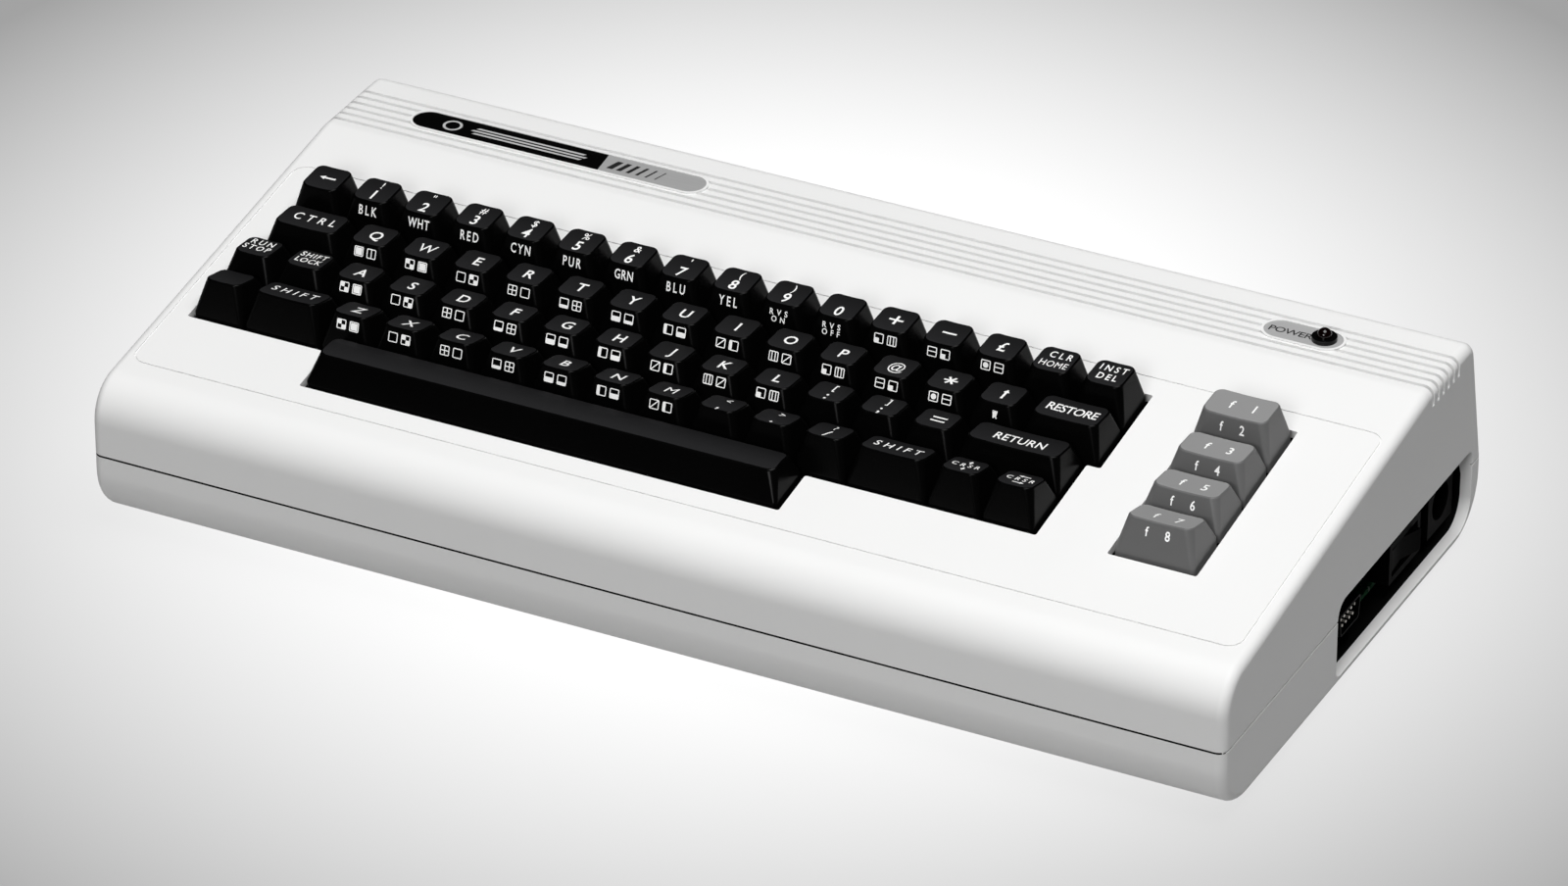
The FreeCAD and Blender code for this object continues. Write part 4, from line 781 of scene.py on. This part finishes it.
def addFaceLegends(prints, form, legend, number):
    face = legend.get("face", [])
    for line, text in enumerate(face):
        share = wordWidths.get(text, 1.0)
        if len(face) == 2:
            span = plain["smallSpan"] * share
            shape = textShape(text, plain["smallFace"], span, plain["smallSqueeze"], plain["smallWeight"])
            drop = plain["smallDrop"] + line * plain["smallStep"]
            onFace(prints, form, shape, plain["smallPlace"], drop)
        else:
            span = plain["faceSpan"] * share if len(text) > 1 else None
            shape = textShape(text, plain["face"], span, plain["faceSqueeze"], plain["faceWeight"])
            onFace(prints, form, shape, plain["facePlace"], plain["faceDrop"])
    if "marks" in legend:
        for side in (-1, 1):
            shape = boxMark(markKinds[(number * 7 + (side + 1) * 4) % len(markKinds)])
            bmesh.ops.scale(shape, vec=(plain["mark"],) * 3, verts=shape.verts)
            onFace(prints, form, shape, side * plain["markApart"] / 2, plain["markDrop"][form.row])


def makeKeys():
    number = 0
    for node, row, start, widths, legends in keyPlan:
        caps = bmesh.new()
        prints = bmesh.new()
        left = deck["functionLeft"] if start is None else deck["keysLeft"] + start * deck["pitch"]
        v = deck["keysBack"] - (row + 0.5) * deck["rowPitch"]
        for units, legend in zip(widths, legends):
            form = KeyForm(units * deck["pitch"], row)
            form.place = Vector((left + form.width / 2, v, 0))
            apart = cap["outerPost"] * form.width
            posts = [-apart, 0, apart] if row == 4 else [0]
            addShape(caps, capShape(form, posts), toDeck @ Matrix.Translation(form.place))
            addTopLegends(prints, form, legend)
            addFaceLegends(prints, form, legend, number)
            left += form.width
            number += 1
        grey = start is None
        materials = [keyGreySidePaintedShade, keyGreyTopPaintedLight] if grey else [keyBlackSidePaintedShade, keyBlackTopPaintedLight]
        finishPiece(caps, node + ".caps", materials, node, (node,), smooth=35)
        if prints.verts:
            finishPiece(prints, node + ".legends", [legendWhite, legendFront], node)
        else:
            prints.free()


makeKeys()
print("keys made")

# Case and the pieces in it

inside = {"side": 3.95, "floor": 2.0, "back": 2.6, "roof": 2.6, "front": 2.9, "ends": 26.0,
          "halfWidth": 202.0, "middle": 35.0, "seam": 27.5, "seamGap": 0.75, "seamDepth": 0.6,
          "seamFront": 2.5, "halfDepth": 102.5, "bottom": 2.5, "ribTop": 75.5, "shoulder": 53.58}


def isInside(face):
    # whether a face of the case looks into it or into the front seam's gap; those faces are painted
    # near-black as painted shade
    centre = face.calc_center_median() / mm
    slope = math.radians(deck["slope"])
    roof = (deck["middleHeight"] - centre.z) * math.cos(slope) + centre.y * math.sin(slope)
    if centre.y > inside["shoulder"]:
        roof = min(roof, inside["ribTop"] - centre.z)
    front = centre.y + inside["halfDepth"]
    reaches = [(inside["halfWidth"] - abs(centre.x), "side"), (centre.z - inside["bottom"], "floor"),
               (inside["halfDepth"] - centre.y, "back"), (roof, "roof"), (front, "front")]
    seamDepth = centre.z - inside["seam"]
    if front < inside["seamFront"] and -0.05 <= seamDepth <= inside["seamGap"]:
        return abs(face.normal.z) > 0.9 or front > inside["seamDepth"]
    if any(reach < inside[name] for reach, name in reaches):
        return False
    atEnd = abs(centre.y) > inside["halfDepth"] - inside["ends"]
    outward = face.normal.y * centre.y + face.normal.z * (centre.z - inside["middle"]) > 0
    return not (atEnd and outward)


def dressShell(node, name):
    shape = mergedCopy(node)
    for face in shape.faces:
        # faces inside the case and in the seam gap take the painted shade
        face.material_index = 1 if isInside(face) else 0
    finishPiece(shape, name, [casePlastic, caseInsidePaintedShade], "case", (node,), smooth=28)


dressShell("upper_case", "upperShell")
dressShell("lower_case", "lowerShell")
print("case dressed")

roundPieces = {
    # node: its finish and its material slot. These are round, so a smoothly shaded copy stands for each
    "rubber_feet": (footRubber, "rubber"), "case_screws": (screwSteel, "screw_steel"),
    "key_springs": (springSteel, "spring_steel"), "board_capacitors": (capacitorSleeve, "capacitor_sleeve"),
    "inner_screws": (screwSteel, "screw_steel"), "video_socket": (portPlastic, "port_plastic"),
    "serial_socket": (portPlastic, "port_plastic"), "power_socket": (portPlastic, "port_plastic"),
    "switch_housing": (portPlastic, "port_plastic"), "switch_rocker": (portPlastic, "port_plastic"),
    "name_badge": (nameBadgePlate, "badge_black"), "power_badge": (badgeSilver, "badge_silver"),
    "power_lamp": (lampPlastic, "lamp_plastic"), "lamp_collar": (lampCollarPlastic, "port_plastic"),
    "lamp_lead": (wireSleeve, "wire_sleeve"), "keyboard_ribbon": (ribbonPlastic, "ribbon_plastic"),
    "game_port": (gamePortPinsAndPaintedShade, "port_metal"),
}
for node, (material, slot) in roundPieces.items():
    body = "switch_rocker" if node == "switch_rocker" else "case"
    finishPiece(mergedCopy(node), node + ".dressed", [material], body, (node,), smooth=35)
print("round pieces dressed")

finishes = {
    "keyboard_frame": framePlastic, "keyboard_board": boardLaminate, "main_board": boardLaminate,
    "board_chips": chipPlastic, "heat_sink": sheetAluminium, "cartridge_connector": portPlastic,
}
for node, material in finishes.items():
    mesh = nodes[node].data
    mesh.materials.clear()
    mesh.materials.append(material)
print("CAD pieces given their finishes")

badgePrint = {"ringX": -161.0, "ringRadius": 3.4, "ringWall": 0.9, "stripeLeft": -153.5,
              "stripeRight": -110.5, "stripeStep": 1.75, "stripe": 0.95, "lean": 0.8, "shorter": 2.4,
              "silverLeft": -99.5, "barStep": 3.4, "barHeight": 5.6, "barLean": 1.6,
              "barWidths": [2.1, 1.75, 1.4, 1.05, 0.7, 0.4], "raise": 0.06}


def slantedBar(shape, x, y, wide, high, lean):
    verts = bmesh.ops.create_grid(shape, x_segments=1, y_segments=1, size=0.5)["verts"]
    bmesh.ops.scale(shape, vec=(wide, high, 1), verts=verts)
    for vertex in verts:
        vertex.co.x += lean * vertex.co.y / high
    bmesh.ops.translate(shape, vec=(x, y, 0), verts=verts)


def placePrint(shape, name, material):
    flatten(shape)
    lift = nameBadge["plateTop"] + badgePrint["raise"]
    bmesh.ops.translate(shape, vec=(0, 0, lift), verts=shape.verts)
    bmesh.ops.scale(shape, vec=(mm, mm, mm), verts=shape.verts)
    finishPiece(shape, name, [material], "case")


def makeBadgePrints():
    # a plain ring and three stripes on the black, slanted bars on the silver
    pale = bmesh.new()
    bmesh.ops.create_circle(pale, cap_ends=True, segments=40, radius=badgePrint["ringRadius"])
    bmesh.ops.inset_region(pale, faces=pale.faces[:], thickness=badgePrint["ringWall"], use_boundary=True)
    middle = [f for f in pale.faces if len(f.verts) == 40]
    bmesh.ops.delete(pale, geom=middle, context="FACES_ONLY")
    bmesh.ops.translate(pale, vec=(badgePrint["ringX"], nameBadge["middleY"], 0), verts=pale.verts)
    length = badgePrint["stripeRight"] - badgePrint["stripeLeft"]
    for step in (-1, 0, 1):
        y = nameBadge["middleY"] + step * badgePrint["stripeStep"]
        slantedBar(pale, badgePrint["stripeLeft"] + length / 2, y, length - abs(step) * badgePrint["shorter"],
                   badgePrint["stripe"], badgePrint["lean"])
    placePrint(pale, "name_badge.stripes", legendSilver)
    dark = bmesh.new()
    x = badgePrint["silverLeft"]
    for width in badgePrint["barWidths"]:
        slantedBar(dark, x, nameBadge["middleY"], width, badgePrint["barHeight"], badgePrint["barLean"])
        x += badgePrint["barStep"]
    placePrint(dark, "name_badge.bars", legendDark)


powerWord = {"x": 146.9, "y": 69.6, "height": 3.1, "span": 15.2, "squeeze": 1.02, "weight": 0.03}


def makePowerWord():
    shape = textShape("POWER", powerWord["height"], powerWord["span"], powerWord["squeeze"],
                      powerWord["weight"])
    bmesh.ops.translate(shape, vec=(powerWord["x"], powerWord["y"], 0), verts=shape.verts)
    placePrint(shape, "power_badge.word", legendDark)


makeBadgePrints()
makePowerWord()
print("badges printed")

# Studio

studio = {"floorSize": 14.0, "floorColour": 0.28, "paper": 1.418, "paperShare": 0.88, "fadeAcross": 0.467,
          "fadeAlong": 0.521, "fadePower": 1.425, "middle": (-0.036, 0.066, 0), "keyPower": 37.0,
          "fillPower": 58.0, "fadeMost": 0.73, "ambient": 0.01, "far": 0.4}
view = {"yaw": 26.595, "down": 30.638, "roll": 0.104, "place": (1.1094, -2.2184, 1.5009), "lens": 203.27}


def makeFloor():
    # pale paper whose glow is a painted pool of light, brightest at the middle and greyer towards its edges,
    # and clear when seen from below
    shape = bmesh.new()
    bmesh.ops.create_grid(shape, x_segments=8, y_segments=8, size=studio["floorSize"] / 2)
    mesh = bpy.data.meshes.new("floor")
    shape.to_mesh(mesh)
    shape.free()
    floor = bpy.data.objects.new("floor", mesh)
    bpy.context.scene.collection.objects.link(floor)
    made = Finish("floorPaper", (studio["floorColour"],) * 3, 0.9, Specular_IOR_Level=0.0)
    place = made.node("ShaderNodeMapping", {"vector_type": "TEXTURE"},
                      {"Vector": made.place(), "Location": studio["middle"],
                       "Rotation": (0, 0, math.radians(view["yaw"])),
                       "Scale": (studio["fadeAcross"], studio["fadeAlong"], 1)})
    reach = made.node("ShaderNodeVectorMath", {"operation": "LENGTH"}, {"Vector": place}, "Value")
    # painted pool of light: the glow falls off from the middle outwards
    paintedLightFalloff = reach.sum("MINIMUM", reach.sum("POWER", reach, studio["fadePower"]), studio["fadeMost"])
    tone = made.mix(paintedLightFalloff.clamped(), (studio["paper"],) * 3, (0.0, 0.0, 0.0))
    glow = made.node("ShaderNodeEmission", {}, {"Color": tone, "Strength": 1.0})
    rays = {name: made.node("ShaderNodeLightPath", {}, {}, name)
            for name in ("Is Camera Ray", "Is Glossy Ray", "Is Transmission Ray")}
    seen = (rays["Is Camera Ray"] + rays["Is Glossy Ray"] + rays["Is Transmission Ray"]).clamped()
    mixed = made.node("ShaderNodeMixShader", {}, {"Fac": seen * studio["paperShare"],
                                                  1: Wire(made.tree, made.shader.outputs[0]), 2: glow})
    clear = made.node("ShaderNodeBsdfTransparent", {}, {})
    below = made.node("ShaderNodeNewGeometry", {}, {}, "Backfacing")
    whole = made.node("ShaderNodeMixShader", {}, {"Fac": below, 1: mixed, 2: clear})
    made.tree.links.new(whole.socket, made.tree.nodes["Material Output"].inputs["Surface"])
    mesh.materials.append(made.material)


def makeLamp(name, place, aim, size, power):
    lamp = bpy.data.lights.new(name, "AREA")
    lamp.shape = "RECTANGLE"
    lamp.size, lamp.size_y = size
    lamp.energy = power
    holder = bpy.data.objects.new(name, lamp)
    holder.location = place
    holder.rotation_euler = (Vector(aim) - Vector(place)).to_track_quat("-Z", "Y").to_euler()
    bpy.context.scene.collection.objects.link(holder)


def makeWorld():
    world = bpy.data.worlds.new("studio")
    bpy.context.scene.world = world
    world.use_nodes = True
    tree = world.node_tree
    back = tree.nodes["Background"]
    back.inputs["Color"].default_value = (1, 1, 1, 1)
    rays = tree.nodes.new("ShaderNodeLightPath")
    seen = Wire(tree, rays.outputs["Is Camera Ray"]) * studio["far"] + studio["ambient"]
    tree.links.new(seen.socket, back.inputs["Strength"])


def makeCamera():
    data = bpy.data.cameras.new("camera")
    data.sensor_width = 36.0
    data.lens = view["lens"]
    data.clip_end = 50.0
    camera = bpy.data.objects.new("camera", data)
    turn = (Matrix.Rotation(math.radians(view["yaw"]), 4, "Z")
            @ Matrix.Rotation(math.radians(90 - view["down"]), 4, "X")
            @ Matrix.Rotation(math.radians(view["roll"]), 4, "Z"))
    camera.matrix_world = Matrix.Translation(view["place"]) @ turn
    bpy.context.scene.collection.objects.link(camera)
    bpy.context.scene.camera = camera


makeFloor()
makeLamp("overhead", (0.35, -0.15, 1.9), (0, 0, 0.05), (1.2, 1.2), studio["keyPower"])
makeLamp("frontFill", (0.6, -3.7, 1.9), (0, 0, 0.05), (1.4, 1.0), studio["fillPower"])
makeWorld()
makeCamera()
bpy.context.scene.view_settings.view_transform = "Standard"
print("studio lit")
